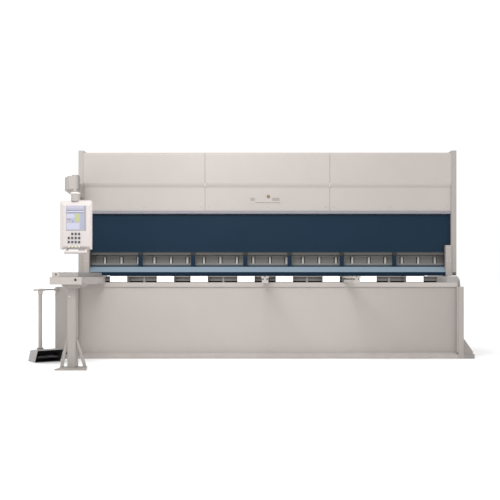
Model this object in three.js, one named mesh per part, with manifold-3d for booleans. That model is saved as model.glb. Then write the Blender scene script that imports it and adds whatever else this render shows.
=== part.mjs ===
// Hydraulic guillotine shear for sheet metal, in millimetres.
// X runs along the machine to the operator's right, Y away from the operator, Z up.
// The origin is on the floor, under the middle of the cutting plane: the blades meet at Y = 0.
import * as THREE from "three";
import { mergeVertices } from "three/addons/utils/BufferGeometryUtils.js";
import Module from "manifold-3d";

const wasm = await Module();
wasm.setup();

// Driving dimensions.
const GAP = 0.3; // between pieces that touch
const HALF_WIDTH = 2258; // to the outer faces of the side frames
const HEIGHT = 2450;
const SIDE_THICKNESS = 62;
const INNER = HALF_WIDTH - SIDE_THICKNESS; // to the inner faces of the side frames
const FRONT = -600; // front of the base
const REAR = 1150; // rear of the side frames
const SHOULDER = 826; // top of the side frames in front of the throat
const UPPER_FRONT = -250; // front edge of the upper side frames
const BED_TOP = 875; // top of the bed, which carries the table
const TABLE_TOP = 948; // the sheet lies at this height
const THROAT_TOP = 956;
const THROAT_HEIGHT = 8;
const THROAT_END = 200;
const BLADE_STROKE = 150;
const BLADE_RAKE = 107; // rise of the upper blade from left to right
const CLAMP_STROKE = 21;
const ARM_FRONT = -1600; // front end of the support arms
const FOOT_OUT = 124; // foot plate beyond the side frame
const PANEL_X = -2035; // axis of the drop tube and the control panel
const PANEL_Y = -1300;
const BOOM_PIVOT = new THREE.Vector2(-2225, -310);

// Colours, with their roughness and metalness.
const finishes = {
  light_grey: [0xc4bdb8, 0.5, 0],
  dark_blue: [0x283c4d, 0.45, 0],
  light_blue: [0x90a1b1, 0.45, 0],
  white: [0xf2f0ee, 0.45, 0],
  steel: [0x8a8a8c, 0.4, 0.9],
  blade_steel: [0xa0a2a6, 0.25, 1],
  grey: [0x8e8c8b, 0.55, 0],
  dark_grey: [0x55575a, 0.6, 0],
  black: [0x1d1e20, 0.6, 0],
  panel_white: [0xe9e8e6, 0.4, 0],
  button_grey: [0x6d7076, 0.5, 0],
};

const machine = new THREE.Group();

function place(name, geometry, finish, parent = machine) {
  const [color, roughness, metalness] = finishes[finish];
  const mesh = new THREE.Mesh(
    geometry,
    new THREE.MeshStandardMaterial({ color, roughness, metalness }),
  );
  mesh.name = name;
  parent.add(mesh);
  return mesh;
}

// A closed geometry as a manifold solid, and back.
function solid(geometry) {
  const bare = geometry.index ? geometry.toNonIndexed() : geometry.clone();
  bare.deleteAttribute("normal");
  bare.deleteAttribute("uv");
  const merged = mergeVertices(bare, 1e-3);
  return new wasm.Manifold(
    new wasm.Mesh({
      numProp: 3,
      vertProperties: merged.attributes.position.array,
      triVerts: new Uint32Array(merged.index.array),
    }),
  );
}

function geometryOf(manifold) {
  const mesh = manifold.getMesh();
  const geometry = new THREE.BufferGeometry();
  geometry.setAttribute("position", new THREE.BufferAttribute(mesh.vertProperties, 3));
  geometry.setIndex(new THREE.BufferAttribute(mesh.triVerts, 1));
  return geometry;
}

const join = (...shapes) => geometryOf(shapes.map(solid).reduce((a, b) => a.add(b)));

const cut = (body, ...tools) =>
  geometryOf(tools.map(solid).reduce((a, b) => a.subtract(b), solid(body)));

// A box from its lowest and highest corner.
function box(x0, x1, y0, y1, z0, z1) {
  return new THREE.BoxGeometry(x1 - x0, y1 - y0, z1 - z0).translate(
    (x0 + x1) / 2,
    (y0 + y1) / 2,
    (z0 + z1) / 2,
  );
}

// An outline extruded along one axis. The outline's points are the other two coordinates in the
// order Y,Z for axis x, X,Z for axis y and X,Y for axis z.
function prism(axis, from, to, points) {
  const shape = new THREE.Shape(points.map(([u, v]) => new THREE.Vector2(u, v)));
  const geometry = new THREE.ExtrudeGeometry(shape, { depth: to - from, bevelEnabled: false });
  if (axis === "x") {
    geometry.applyMatrix4(new THREE.Matrix4().set(0, 0, 1, from, 1, 0, 0, 0, 0, 1, 0, 0, 0, 0, 0, 1));
  } else if (axis === "y") {
    geometry.applyMatrix4(new THREE.Matrix4().set(1, 0, 0, 0, 0, 0, -1, to, 0, 1, 0, 0, 0, 0, 0, 1));
  } else {
    geometry.translate(0, 0, from);
  }
  return geometry;
}

// Points on an arc, both ends included, with its angles in degrees.
function arc(u, v, radius, from, to, steps) {
  return Array.from({ length: steps + 1 }, (_, i) => {
    const angle = THREE.MathUtils.degToRad(from + ((to - from) * i) / steps);
    return [u + radius * Math.cos(angle), v + radius * Math.sin(angle)];
  });
}

// The outline of a rectangle with rounded corners.
function roundedOutline(x0, x1, y0, y1, radius, steps = 4) {
  return [
    ...arc(x1 - radius, y0 + radius, radius, -90, 0, steps),
    ...arc(x1 - radius, y1 - radius, radius, 0, 90, steps),
    ...arc(x0 + radius, y1 - radius, radius, 90, 180, steps),
    ...arc(x0 + radius, y0 + radius, radius, 180, 270, steps),
  ];
}

// A round bar along one axis, centred on the other two coordinates.
function rod(axis, from, to, u, v, radius, sides = 16) {
  const geometry = new THREE.CylinderGeometry(radius, radius, to - from, sides);
  const middle = (from + to) / 2;
  if (axis === "x") return geometry.rotateZ(Math.PI / 2).translate(middle, u, v);
  if (axis === "y") return geometry.translate(u, middle, v);
  return geometry.rotateX(Math.PI / 2).translate(u, v, middle);
}

// Side frames: a thick plate with the throat, a foot plate outside it and gussets.
const GUSSET = { inset: 18, toe: 80, top: 236, thickness: 22 };
const LAP = 20; // how far joined plates run into each other
function sideFrame(side) {
  const plate = prism("x", -SIDE_THICKNESS / 2, SIDE_THICKNESS / 2, [
    [FRONT, 0],
    [REAR, 0],
    [REAR, 1650],
    [650, HEIGHT],
    [UPPER_FRONT, HEIGHT],
    [UPPER_FRONT, THROAT_TOP],
    [THROAT_END, THROAT_TOP],
    [THROAT_END + THROAT_HEIGHT / 2, THROAT_TOP - THROAT_HEIGHT / 2],
    [THROAT_END, THROAT_TOP - THROAT_HEIGHT],
    [UPPER_FRONT, THROAT_TOP - THROAT_HEIGHT],
    [UPPER_FRONT - 90, TABLE_TOP - 10],
    [UPPER_FRONT - 160, BED_TOP + 30],
    [UPPER_FRONT - 190, SHOULDER],
    [FRONT, SHOULDER],
  ]).translate((side * (HALF_WIDTH + INNER)) / 2, 0, 0);
  const out = (distance) => side * (HALF_WIDTH + distance);
  const foot = box(
    Math.min(out(-LAP), out(FOOT_OUT)),
    Math.max(out(-LAP), out(FOOT_OUT)),
    FRONT,
    REAR,
    0,
    50,
  );
  const gussetOutline = [
    [out(-LAP), 40],
    [out(FOOT_OUT - GUSSET.inset), 40],
    [out(FOOT_OUT - GUSSET.inset), GUSSET.toe],
    [out(0), GUSSET.top],
    [out(-LAP), GUSSET.top],
  ];
  if (side < 0) gussetOutline.reverse();
  const gussets = [FRONT + 8, 330, REAR - 30].map((y) =>
    prism("y", y, y + GUSSET.thickness, gussetOutline),
  );
  return side < 0 ? join(plate, foot, gussets[1], gussets[2]) : join(plate, foot, ...gussets);
}
place("left_side_frame", sideFrame(-1), "light_grey");
place("right_side_frame", sideFrame(1), "light_grey");

// Bed: base flange and main plate, front panel, top plate.
const BED_END = INNER - GAP;
const BASE_THICKNESS = 36;
const PLINTH_TOP = 66;
const TOP_PLATE = 52;
const MAIN_PLATE = [-85, -25];
const BED_PANEL = [-546, -526];
place(
  "bed_frame",
  join(
    box(-BED_END, BED_END, FRONT, 150, 0, BASE_THICKNESS),
    prism("x", -BED_END, BED_END, [
      [FRONT, BASE_THICKNESS - 10],
      [MAIN_PLATE[0], BASE_THICKNESS - 10],
      [BED_PANEL[1], PLINTH_TOP],
      [BED_PANEL[0] - 4, PLINTH_TOP],
      [FRONT, BASE_THICKNESS],
    ]),
    box(
      -BED_END,
      BED_END,
      MAIN_PLATE[0],
      MAIN_PLATE[1],
      BASE_THICKNESS - 10,
      BED_TOP - TOP_PLATE - GAP,
    ),
  ),
  "light_grey",
);
place(
  "bed_front_panel",
  box(
    -BED_END,
    BED_END,
    BED_PANEL[0],
    BED_PANEL[1],
    PLINTH_TOP + GAP,
    BED_TOP - TOP_PLATE - GAP,
  ),
  "light_grey",
);
const TABLE_FRONT = -560;
const LOWER_BLADE = [-25, 0];
place(
  "bed_top_plate",
  box(-BED_END, BED_END, TABLE_FRONT, LOWER_BLADE[0] - GAP, BED_TOP - TOP_PLATE, BED_TOP),
  "light_grey",
);

// Table: a slab whose lip hangs over the hand recesses, solid ends, and a web in each recess.
const SLAB_FRONT = -340;
const LIP_FRONT = -400;
const LIP_THICKNESS = 10;
const WEB_WIDTH = 24;
const WEB_FRONT = -385;
const END_FRONT = 2075; // inner corners of the solid table ends, at the front and under the lip
const END_BACK = 1992;
const blockPairs = [-1449, -518, 466, 1432]; // middles of the block pairs
const PAIR_PITCH = 541;
const BLOCK_WIDTH = 198;
function tableEnd(side) {
  const outline = [
    [side * BED_END, SLAB_FRONT + 10],
    [side * END_BACK, SLAB_FRONT + 10],
    [side * END_BACK, LIP_FRONT],
    [side * END_FRONT, TABLE_FRONT],
    [side * BED_END, TABLE_FRONT],
  ];
  if (side > 0) outline.reverse();
  return prism("z", BED_TOP + GAP, TABLE_TOP, outline);
}
place(
  "table_top",
  join(
    box(-BED_END, BED_END, SLAB_FRONT, LOWER_BLADE[0] - GAP, BED_TOP + GAP, TABLE_TOP),
    tableEnd(-1),
    tableEnd(1),
    box(-BED_END, BED_END, LIP_FRONT, SLAB_FRONT + 10, TABLE_TOP - LIP_THICKNESS, TABLE_TOP),
    ...blockPairs.map((x) =>
      box(
        x - WEB_WIDTH / 2,
        x + WEB_WIDTH / 2,
        WEB_FRONT,
        SLAB_FRONT + 10,
        BED_TOP + GAP,
        TABLE_TOP,
      ),
    ),
  ),
  "grey",
);
blockPairs.forEach((middle, pair) => {
  [-1, 1].forEach((side, half) => {
    const x = middle + (side * PAIR_PITCH) / 2;
    place(
      "table_block_" + (2 * pair + half + 1),
      box(
        x - BLOCK_WIDTH / 2,
        x + BLOCK_WIDTH / 2,
        TABLE_FRONT,
        LIP_FRONT - GAP,
        BED_TOP + GAP,
        TABLE_TOP,
      ),
      "white",
    );
  });
});
const BLADE_HALF = 2080;
place(
  "lower_blade",
  box(-BLADE_HALF, BLADE_HALF, LOWER_BLADE[0], LOWER_BLADE[1], TABLE_TOP - 100, TABLE_TOP),
  "blade_steel",
);

// Hold-down beam: the blue front plate with seven windows, stiffened behind.
const BLUE_FRONT = -200;
const WINDOW = { bottom: 1064, top: 1238, end: 2117 };
const BLUE_TOP = 1688;
const POST_WIDTH = 50;
const posts = [-1524, -893, -266, 266, 893, 1524];
function holdDownBeam() {
  const edges = [-WINDOW.end - POST_WIDTH / 2, ...posts, WINDOW.end + POST_WIDTH / 2];
  const windows = edges.slice(1).map((edge, i) =>
    box(
      edges[i] + POST_WIDTH / 2,
      edge - POST_WIDTH / 2,
      BLUE_FRONT - 5,
      BLUE_FRONT + 20,
      WINDOW.bottom,
      WINDOW.top,
    ),
  );
  const front = cut(
    box(-BED_END, BED_END, BLUE_FRONT, BLUE_FRONT + 12, WINDOW.bottom - 24, BLUE_TOP),
    ...windows,
  );
  return join(
    front,
    box(-BED_END, BED_END, BLUE_FRONT + 8, -30, WINDOW.top + 10, WINDOW.top + 30),
    box(-BED_END, BED_END, BLUE_FRONT + 8, -30, BLUE_TOP - 20, BLUE_TOP),
    box(-BED_END, BED_END, -42, -30, WINDOW.top + 10, BLUE_TOP),
  );
}
place("hold_down_beam", holdDownBeam(), "dark_blue");

// Finger guard: a folded sheet below the windows, with a slot for the sheet under its lip.
const GUARD_END = 2125;
const GUARD_LIP = 956;
place(
  "finger_guard",
  prism("x", -GUARD_END, GUARD_END, [
    [BLUE_FRONT - GAP, WINDOW.bottom - 4],
    [BLUE_FRONT - 62, 998],
    [BLUE_FRONT - 62, GUARD_LIP],
    [BLUE_FRONT - 56, GUARD_LIP],
    [BLUE_FRONT - 56, 994],
    [BLUE_FRONT - GAP, WINDOW.bottom - 12],
  ]),
  "light_blue",
);

// End covers over the guard's ends.
const END_COVER = { bottom: TABLE_TOP + 3, top: 1318 };
function endCover(side) {
  const ends = [side * (GUARD_END + 1), side * BED_END].sort((a, b) => a - b);
  return box(ends[0], ends[1], UPPER_FRONT - 14, BLUE_FRONT - GAP, END_COVER.bottom, END_COVER.top);
}
place("left_end_cover", endCover(-1), "light_grey");
place("right_end_cover", endCover(1), "light_grey");

// Top covers: folded sheets, each with a front and a top.
const COVER_BOTTOM = 1730;
const COVER_TOP = 2430;
const COVER_CREASE = 2018;
const CREASE_HEIGHT = 42;
const UPPER_COVER = UPPER_FRONT + 2; // front of the covers above the crease
const LOWER_COVER = UPPER_FRONT + 16; // and below it
const COVER_ROUND = 34;
const COVER_SHEET = 4;
const SEAM = 746;
const coverCorner = [UPPER_COVER + COVER_ROUND, COVER_TOP - COVER_ROUND];
const coverOutline = [
  ...arc(...coverCorner, COVER_ROUND, 90, 180, 6),
  [UPPER_COVER, COVER_CREASE + CREASE_HEIGHT],
  [LOWER_COVER, COVER_CREASE],
  [LOWER_COVER, COVER_BOTTOM],
  [LOWER_COVER + 28, COVER_BOTTOM],
  [LOWER_COVER + 28, COVER_BOTTOM + COVER_SHEET],
  [LOWER_COVER + COVER_SHEET, COVER_BOTTOM + COVER_SHEET],
  [LOWER_COVER + COVER_SHEET, COVER_CREASE + 1],
  [UPPER_COVER + COVER_SHEET, COVER_CREASE + CREASE_HEIGHT + 1],
  ...arc(...coverCorner, COVER_ROUND - COVER_SHEET, 180, 90, 6),
  [600, COVER_TOP - COVER_SHEET],
  [600, COVER_TOP],
];
[
  ["top_cover_left", -BED_END, -SEAM - 1.5],
  ["top_cover_centre", -SEAM + 1.5, SEAM - 1.5],
  ["top_cover_right", SEAM + 1.5, BED_END],
].forEach(([name, from, to]) => place(name, prism("x", from, to, coverOutline), "light_grey"));

// Rear: tie beam, oil tank and pump motor, and the chute that carries cut strips out.
const TIE = { front: 480, rear: 620, bottom: 1500, top: 1850 };
place("rear_tie_beam", box(-BED_END, BED_END, TIE.front, TIE.rear, TIE.bottom, TIE.top), "light_grey");
const TANK = { half: 800, rear: 1000, bottom: 1460, top: 1850 };
place(
  "oil_tank",
  box(-TANK.half, TANK.half, TIE.rear + GAP, TANK.rear, TANK.bottom, TANK.top),
  "light_grey",
);
const MOTOR = { x: 300, y: 810, radius: 130, top: 2260 };
place(
  "pump_motor",
  join(
    rod("z", TANK.top + GAP, TANK.top + 50, MOTOR.x, MOTOR.y, 160, 20),
    rod("z", TANK.top + 40, MOTOR.top, MOTOR.x, MOTOR.y, MOTOR.radius, 20),
    box(MOTOR.x + 100, MOTOR.x + 200, MOTOR.y - 70, MOTOR.y + 70, 2010, 2150),
  ),
  "dark_grey",
);
place(
  "scrap_chute",
  prism("x", -BED_END, BED_END, [
    [90, 790],
    [84, 786],
    [900, 150],
    [906, 154],
  ]),
  "grey",
);

// Cylinders: open at the bottom, held to the side frames by a lug.
const ROD_RADIUS = 40;
const CYLINDER = { x: 2060, y: 51, radius: 85, bottom: 1700, top: 2260 };
function cylinder(side) {
  const { x, y, radius, bottom, top } = CYLINDER;
  const bore = ROD_RADIUS + 3;
  const profile = [
    [0, top - 40],
    [bore, top - 40],
    [bore, bottom],
    [radius, bottom],
    [radius, top],
    [0, top],
  ].map(([r, z]) => new THREE.Vector2(r, z));
  const barrel = new THREE.LatheGeometry(profile, 20)
    .rotateX(Math.PI / 2)
    .translate(side * x, y, 0);
  const lug = [side * (x + 60), side * BED_END].sort((a, b) => a - b);
  return join(barrel, box(lug[0], lug[1], y - 60, y + 60, bottom + 80, top - 80));
}
place("cylinder_left", cylinder(-1), "grey");
place("cylinder_right", cylinder(1), "grey");

// Front support arms: an I section with a slot along the top.
const armOutline = [
  [-40, 72],
  [-40, 54],
  [-13, 50],
  [-13, 36],
  [-33, 32],
  [-33, 0.5],
  [33, 0.5],
  [33, 32],
  [13, 36],
  [13, 50],
  [40, 54],
  [40, 72],
  [8, 72],
  [8, 60],
  [-8, 60],
  [-8, 72],
];
[
  ["support_arm_centre", -26],
  ["support_arm_right", 912],
].forEach(([name, x]) =>
  place(
    name,
    prism("y", ARM_FRONT, LIP_FRONT - GAP, armOutline).translate(x, 0, BED_TOP),
    "light_grey",
  ),
);

// Squaring arm with its fence, top rail and leg.
const SQUARING = { left: -2194, right: -1873, front: -1720, top: 940, bottom: 864 };
place(
  "squaring_arm",
  cut(
    box(
      SQUARING.left,
      SQUARING.right,
      SQUARING.front,
      TABLE_FRONT - GAP,
      SQUARING.bottom,
      SQUARING.top,
    ),
    rod("y", SQUARING.front - 5, SQUARING.front + 40, -1935, 911, 14, 12),
  ),
  "light_grey",
);
const FENCE_SPLIT = -2095;
const FENCE_REAR = UPPER_FRONT - 40;
const FENCE_TOP = 988;
place(
  "squaring_fence",
  cut(
    box(
      -2172,
      FENCE_SPLIT - GAP,
      SQUARING.front + 8,
      FENCE_REAR,
      SQUARING.top + GAP,
      FENCE_TOP,
    ),
    box(-2200, FENCE_SPLIT, TABLE_FRONT - 2, FENCE_REAR + 1, SQUARING.top, TABLE_TOP + GAP),
    rod("y", SQUARING.front, SQUARING.front + 50, -2133, SQUARING.top + 26, 9, 12),
  ),
  "light_grey",
);
place(
  "arm_top_rail",
  box(
    FENCE_SPLIT,
    -1913,
    SQUARING.front + 8,
    TABLE_FRONT - GAP,
    SQUARING.top + GAP,
    FENCE_TOP,
  ),
  "grey",
);
const LEG = { x: -1994, y: -1583, half: 45, depth: 65, corner: 22 };
const LEG_FOOT = { left: -2142, right: -1817, front: -1737, rear: -1500, height: 16, taper: 63 };
const LEG_HEAD = { bottom: 822, left: -2086, right: -1858 };
function supportLeg() {
  const { x, y, half, depth, corner } = LEG;
  const toe = (side) => (side < 0 ? LEG_FOOT.left : LEG_FOOT.right) - side * 24;
  const strut = (side) => {
    const outline = [
      [x + side * (half - 4), 290],
      [toe(side) - side * 34, LEG_FOOT.height - 4],
      [toe(side), LEG_FOOT.height - 4],
      [x + side * (half + 14), 310],
      [x + side * (half - 4), 310],
    ];
    if (side > 0) outline.reverse();
    return prism("y", y - 40, y - 28, outline);
  };
  const top = SQUARING.bottom - GAP;
  return join(
    prism(
      "z",
      LEG_FOOT.height - 4,
      top - 5,
      roundedOutline(x - half, x + half, y - depth, y + depth, corner),
    ),
    prism("z", 0, LEG_FOOT.height, [
      [LEG_FOOT.left, LEG_FOOT.front],
      [LEG_FOOT.right, LEG_FOOT.front],
      [LEG_FOOT.right - LEG_FOOT.taper, LEG_FOOT.rear],
      [LEG_FOOT.left + LEG_FOOT.taper, LEG_FOOT.rear],
    ]),
    prism("y", y - 90, y + 90, [
      [x - half, LEG_HEAD.bottom],
      [x + half, LEG_HEAD.bottom],
      [LEG_HEAD.right, top - 8],
      [LEG_HEAD.right, top],
      [LEG_HEAD.left, top],
      [LEG_HEAD.left, top - 8],
    ]),
    strut(-1),
    strut(1),
  );
}
place("support_leg", supportLeg(), "light_grey");

// Electrical cabinet outside the left side frame, with its door and main switch.
const CABINET = { left: -2430, front: -590, rear: 300, bottom: 70, top: 826 };
const CABINET_WALL = 6;
place(
  "electrical_cabinet",
  join(
    cut(
      box(
        CABINET.left,
        -HALF_WIDTH - GAP,
        CABINET.front,
        CABINET.rear,
        CABINET.bottom,
        CABINET.top,
      ),
      box(
        CABINET.left - 10,
        -HALF_WIDTH - 20,
        CABINET.front + CABINET_WALL,
        CABINET.rear - CABINET_WALL,
        CABINET.bottom + CABINET_WALL,
        CABINET.top - CABINET_WALL,
      ),
    ),
    box(-2420, -2390, CABINET.front + 40, CABINET.front + 100, 50 + GAP, CABINET.bottom + 3),
    box(-2420, -2390, CABINET.rear - 100, CABINET.rear - 40, 50 + GAP, CABINET.bottom + 3),
    box(-2428, -2404, CABINET.front - 36, CABINET.front + 2, 776, 816),
  ),
  "light_grey",
);
const DOOR_HINGE = new THREE.Vector2(CABINET.left - 7, CABINET.rear + 4);
place(
  "cabinet_door",
  join(
    box(
      CABINET.left - 14,
      CABINET.left - 2,
      CABINET.front + 4,
      CABINET.rear - 8,
      CABINET.bottom + 4,
      CABINET.top - 4,
    ),
    ...[200, 640].map((z) => rod("z", z, z + 70, DOOR_HINGE.x, DOOR_HINGE.y, 7, 12)),
    ...[200, 640].map((z) =>
      box(DOOR_HINGE.x - 3, DOOR_HINGE.x + 2, CABINET.rear - 20, DOOR_HINGE.y, z, z + 70),
    ),
  ),
  "light_grey",
);
place(
  "main_switch",
  join(
    rod("x", CABINET.left - 34, CABINET.left - 14 - GAP, -420, 620, 26, 16),
    box(CABINET.left - 52, CABINET.left - 30, -428, -412, 592, 648),
  ),
  "black",
);

// Foot pedal: an open hood, a tread hinged at the rear of it, and the pole that carries it.
const pedal = new THREE.Group();
pedal.position.set(-2493, -851, 0);
pedal.rotation.z = THREE.MathUtils.degToRad(35);
machine.add(pedal);
pedal.updateMatrixWorld();
const HOOD = { half: 147, front: -110, rear: 110, height: 150, rearHeight: 124, wall: 5 };
const HOOD_LEAN = { front: -205, rear: 36 }; // the top reaches forward over the foot
const HOOD_BOSS = { x: -60, y: -40, top: 142 }; // the pole stands on it
function pedalHood() {
  const { half, front, rear, height, rearHeight, wall } = HOOD;
  const outline = [
    [front, 0],
    [rear, 0],
    [HOOD_LEAN.rear, rearHeight],
    [HOOD_LEAN.front + 40, height],
    [HOOD_LEAN.front, height - 8],
  ];
  const inner = [
    [front - 40, wall],
    [rear - 9, wall],
    [HOOD_LEAN.rear - 5, rearHeight - wall],
    [HOOD_LEAN.front + 40, height - wall],
    [HOOD_LEAN.front - 40, height - 24],
  ];
  const shell = cut(
    prism("x", -half, half, outline),
    prism("x", -half + wall, half - wall, inner),
  );
  return join(shell, rod("z", rearHeight + 2, HOOD_BOSS.top, HOOD_BOSS.x, HOOD_BOSS.y, 38, 16));
}
place("pedal_hood", pedalHood(), "grey", pedal);
const TREAD_HINGE = { y: 60, z: 52 };
place(
  "pedal_tread",
  join(
    box(-120, 120, -126, TREAD_HINGE.y, TREAD_HINGE.z - 6, TREAD_HINGE.z + 6),
    rod("x", -132, 132, TREAD_HINGE.y, TREAD_HINGE.z, 9, 12),
  ),
  "black",
  pedal,
);
const POLE_RADIUS = 21;
const POLE_TOP = 806;
const POLE_BAR = { z: 796, radius: 8, overhang: 115 };
function pedalPole() {
  const foot = pedal.localToWorld(new THREE.Vector3(HOOD_BOSS.x, HOOD_BOSS.y, HOOD_BOSS.top + GAP));
  const along = new THREE.Vector2(-2418 - foot.x, CABINET.front - 42 - foot.y);
  const length = along.length() + POLE_BAR.overhang;
  const bar = new THREE.CylinderGeometry(POLE_BAR.radius, POLE_BAR.radius, length, 10)
    .translate(0, length / 2 - POLE_BAR.overhang, 0)
    .rotateZ(Math.atan2(-along.x, along.y))
    .translate(foot.x, foot.y, POLE_BAR.z);
  return join(
    rod("z", foot.z, POLE_TOP, foot.x, foot.y, POLE_RADIUS, 16),
    rod("z", foot.z, foot.z + 14, foot.x, foot.y, 34, 16),
    bar,
  );
}
place("pedal_pole", pedalPole(), "light_grey");

// Blade beam with the cylinder rods, and the raked upper blade.
const BEAM = { front: 26, rear: 76, top: 1640 };
const bladeEdge = (x) => 975 + (BLADE_RAKE * (x + BLADE_HALF)) / (2 * BLADE_HALF);
const BEAM_HALF = 2160;
place(
  "blade_beam",
  join(
    prism("y", BEAM.front, BEAM.rear, [
      [-BEAM_HALF, bladeEdge(-BEAM_HALF) + 25],
      [BEAM_HALF, bladeEdge(BEAM_HALF) + 25],
      [BEAM_HALF, BEAM.top],
      [-BEAM_HALF, BEAM.top],
    ]),
    rod("z", BEAM.top - 20, CYLINDER.top - 60, -CYLINDER.x, CYLINDER.y, ROD_RADIUS, 16),
    rod("z", BEAM.top - 20, CYLINDER.top - 60, CYLINDER.x, CYLINDER.y, ROD_RADIUS, 16),
    box(-BEAM_HALF, BEAM_HALF, BEAM.rear - 10, BEAM.rear + 60, 1420, 1460),
  ),
  "dark_grey",
);
place(
  "upper_blade",
  prism("y", 0.6, BEAM.front - GAP, [
    [-BLADE_HALF, bladeEdge(-BLADE_HALF)],
    [BLADE_HALF, bladeEdge(BLADE_HALF)],
    [BLADE_HALF, bladeEdge(BLADE_HALF) + 90],
    [-BLADE_HALF, bladeEdge(-BLADE_HALF) + 90],
  ]),
  "blade_steel",
);

// Hold-down clamps: a bar with a rib and a foot at each clamp.
const CLAMP_PITCH = 200;
const CLAMP_SHIFT = 30;
const clampPlaces = Array.from({ length: 21 }, (_, i) => CLAMP_SHIFT + (i - 10) * CLAMP_PITCH);
place(
  "hold_down_clamps",
  join(
    box(-2090, 2090, -90, -50, 1095, 1200),
    ...clampPlaces.flatMap((x) => [
      box(x - 12, x + 12, -106, -85, 1100, 1180),
      box(x - 25, x + 25, -95, -45, TABLE_TOP + CLAMP_STROKE + 1, 1100),
    ]),
  ),
  "grey",
);

// Back gauge: two arms on the blade beam, the gauge bar on its carriages, and the drive shaft.
const ARM_X = 1500;
const GAUGE_ARM = { width: 60, bottom: 1130, top: 1230, rear: 1000 };
[
  ["gauge_arm_left", -ARM_X],
  ["gauge_arm_right", ARM_X],
].forEach(([name, x]) =>
  place(
    name,
    box(
      x - GAUGE_ARM.width / 2,
      x + GAUGE_ARM.width / 2,
      BEAM.rear + GAP,
      GAUGE_ARM.rear,
      GAUGE_ARM.bottom,
      GAUGE_ARM.top,
    ),
    "steel",
  ),
);
const PINION_RADIUS = 40;
const SHAFT = { y: 190, z: GAUGE_ARM.top + PINION_RADIUS + 1 };
function carriage(x) {
  const inner = GAUGE_ARM.width / 2 + 2;
  const cheeks = [x - inner - 10, x + inner].map((from) =>
    cut(
      box(from, from + 10, SHAFT.y - 60, SHAFT.y + 60, 960, SHAFT.z + 60),
      rod("x", from - 5, from + 15, SHAFT.y, SHAFT.z, 17, 20),
    ),
  );
  return [
    ...cheeks,
    box(x - inner - 10, x + inner + 10, SHAFT.y - 60, SHAFT.y + 60, SHAFT.z + 50, SHAFT.z + 60),
    box(x - inner - 10, x + inner + 10, SHAFT.y - 60, SHAFT.y + 60, 1100, 1110),
  ];
}
const GAUGE_FACE = 110;
place(
  "back_gauge_bar",
  join(
    box(-1950, 1950, GAUGE_FACE, GAUGE_FACE + 50, 930, 1000),
    ...carriage(-ARM_X),
    ...carriage(ARM_X),
  ),
  "grey",
);
place(
  "gauge_drive_shaft",
  join(
    rod("x", -1600, 1600, SHAFT.y, SHAFT.z, 15, 16),
    rod("x", -ARM_X - 20, -ARM_X + 20, SHAFT.y, SHAFT.z, PINION_RADIUS, 20),
    rod("x", ARM_X - 20, ARM_X + 20, SHAFT.y, SHAFT.z, PINION_RADIUS, 20),
  ),
  "steel",
);

// Control boom: hinge post at the side frame, a straight arm, an elbow and the drop tube.
const BOOM = { bottom: 1868, top: 2008, half: 45 };
function controlBoom() {
  const { bottom, top, half } = BOOM;
  const elbow = new THREE.Vector2(-2123, PANEL_Y + 130);
  const outline = [
    [BOOM_PIVOT.x - half, BOOM_PIVOT.y],
    [elbow.x - half - 10, elbow.y - 20],
    [PANEL_X - 60, PANEL_Y - 38],
    [PANEL_X + 38, PANEL_Y - 38],
    [PANEL_X + 38, PANEL_Y + 30],
    [elbow.x + half, elbow.y + 30],
    [BOOM_PIVOT.x + half, BOOM_PIVOT.y],
  ];
  return join(
    prism("z", bottom, top, outline),
    rod("z", bottom - 40, top + 40, BOOM_PIVOT.x, BOOM_PIVOT.y, half, 20),
    rod("z", 1842, 2020, PANEL_X, PANEL_Y, 38, 20),
  );
}
place("control_boom", controlBoom(), "light_grey");

// Control panel: case with a screen recess, button holes, handle and the lower drop tube.
const CASE = { half: 160, bottom: 1231, top: 1750, front: PANEL_Y - 60, rear: PANEL_Y + 60 };
const CASE_MIDDLE = PANEL_X + 3;
const BUTTON_RADIUS = 12;
const buttonRows = [
  { z: 1394, columns: [1, 2, 3] },
  { z: 1351, columns: [0, 1, 2, 3] },
  { z: 1308, columns: [0, 1, 2, 3] },
];
const BUTTON_PITCH = 36.5;
const buttonX = (column) => PANEL_X - 56 + column * BUTTON_PITCH;
const SCREEN = { left: PANEL_X - 85, right: PANEL_X + 125, bottom: 1425, top: 1688, depth: 4 };
const GRIP = { left: -2131, right: -1890, y: -1385, z: 1200, radius: 17 };
function controlPanel() {
  const { half, bottom, top, front, rear } = CASE;
  const holes = buttonRows.flatMap(({ z, columns }) =>
    columns.map((column) => rod("y", front - 5, front + 16, buttonX(column), z, BUTTON_RADIUS + 1, 12)),
  );
  const left = CASE_MIDDLE - half;
  const right = CASE_MIDDLE + half;
  const profile = [
    [front, bottom + 30],
    [front + 26, bottom],
    [rear, bottom],
    [rear, top],
    [front + 46, top],
    [front, SCREEN.top + 4],
  ];
  const leftChamfer = prism("z", bottom - 5, top + 5, [
    [left - 5, front - 5],
    [left + 46, front - 5],
    [left + 46, front],
    [left, front + 34],
    [left - 5, front + 34],
  ]);
  const body = cut(
    prism("x", left, right, profile),
    leftChamfer,
    box(SCREEN.left, SCREEN.right, front - 5, front + SCREEN.depth, SCREEN.bottom, SCREEN.top),
    ...holes,
  );
  const leg = (x) => box(x, x + 16, GRIP.y, front + 50, GRIP.z - 8, bottom + 4);
  return join(
    body,
    rod("x", GRIP.left, GRIP.right, GRIP.y, GRIP.z, GRIP.radius, 16),
    leg(GRIP.left + 6),
    leg(GRIP.right - 22),
    rod("z", top - 4, 1832, PANEL_X, PANEL_Y, 48, 20),
    rod("z", 1826, 1842 - GAP, PANEL_X, PANEL_Y, 40, 20),
  );
}
place("control_panel", controlPanel(), "panel_white");
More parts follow.
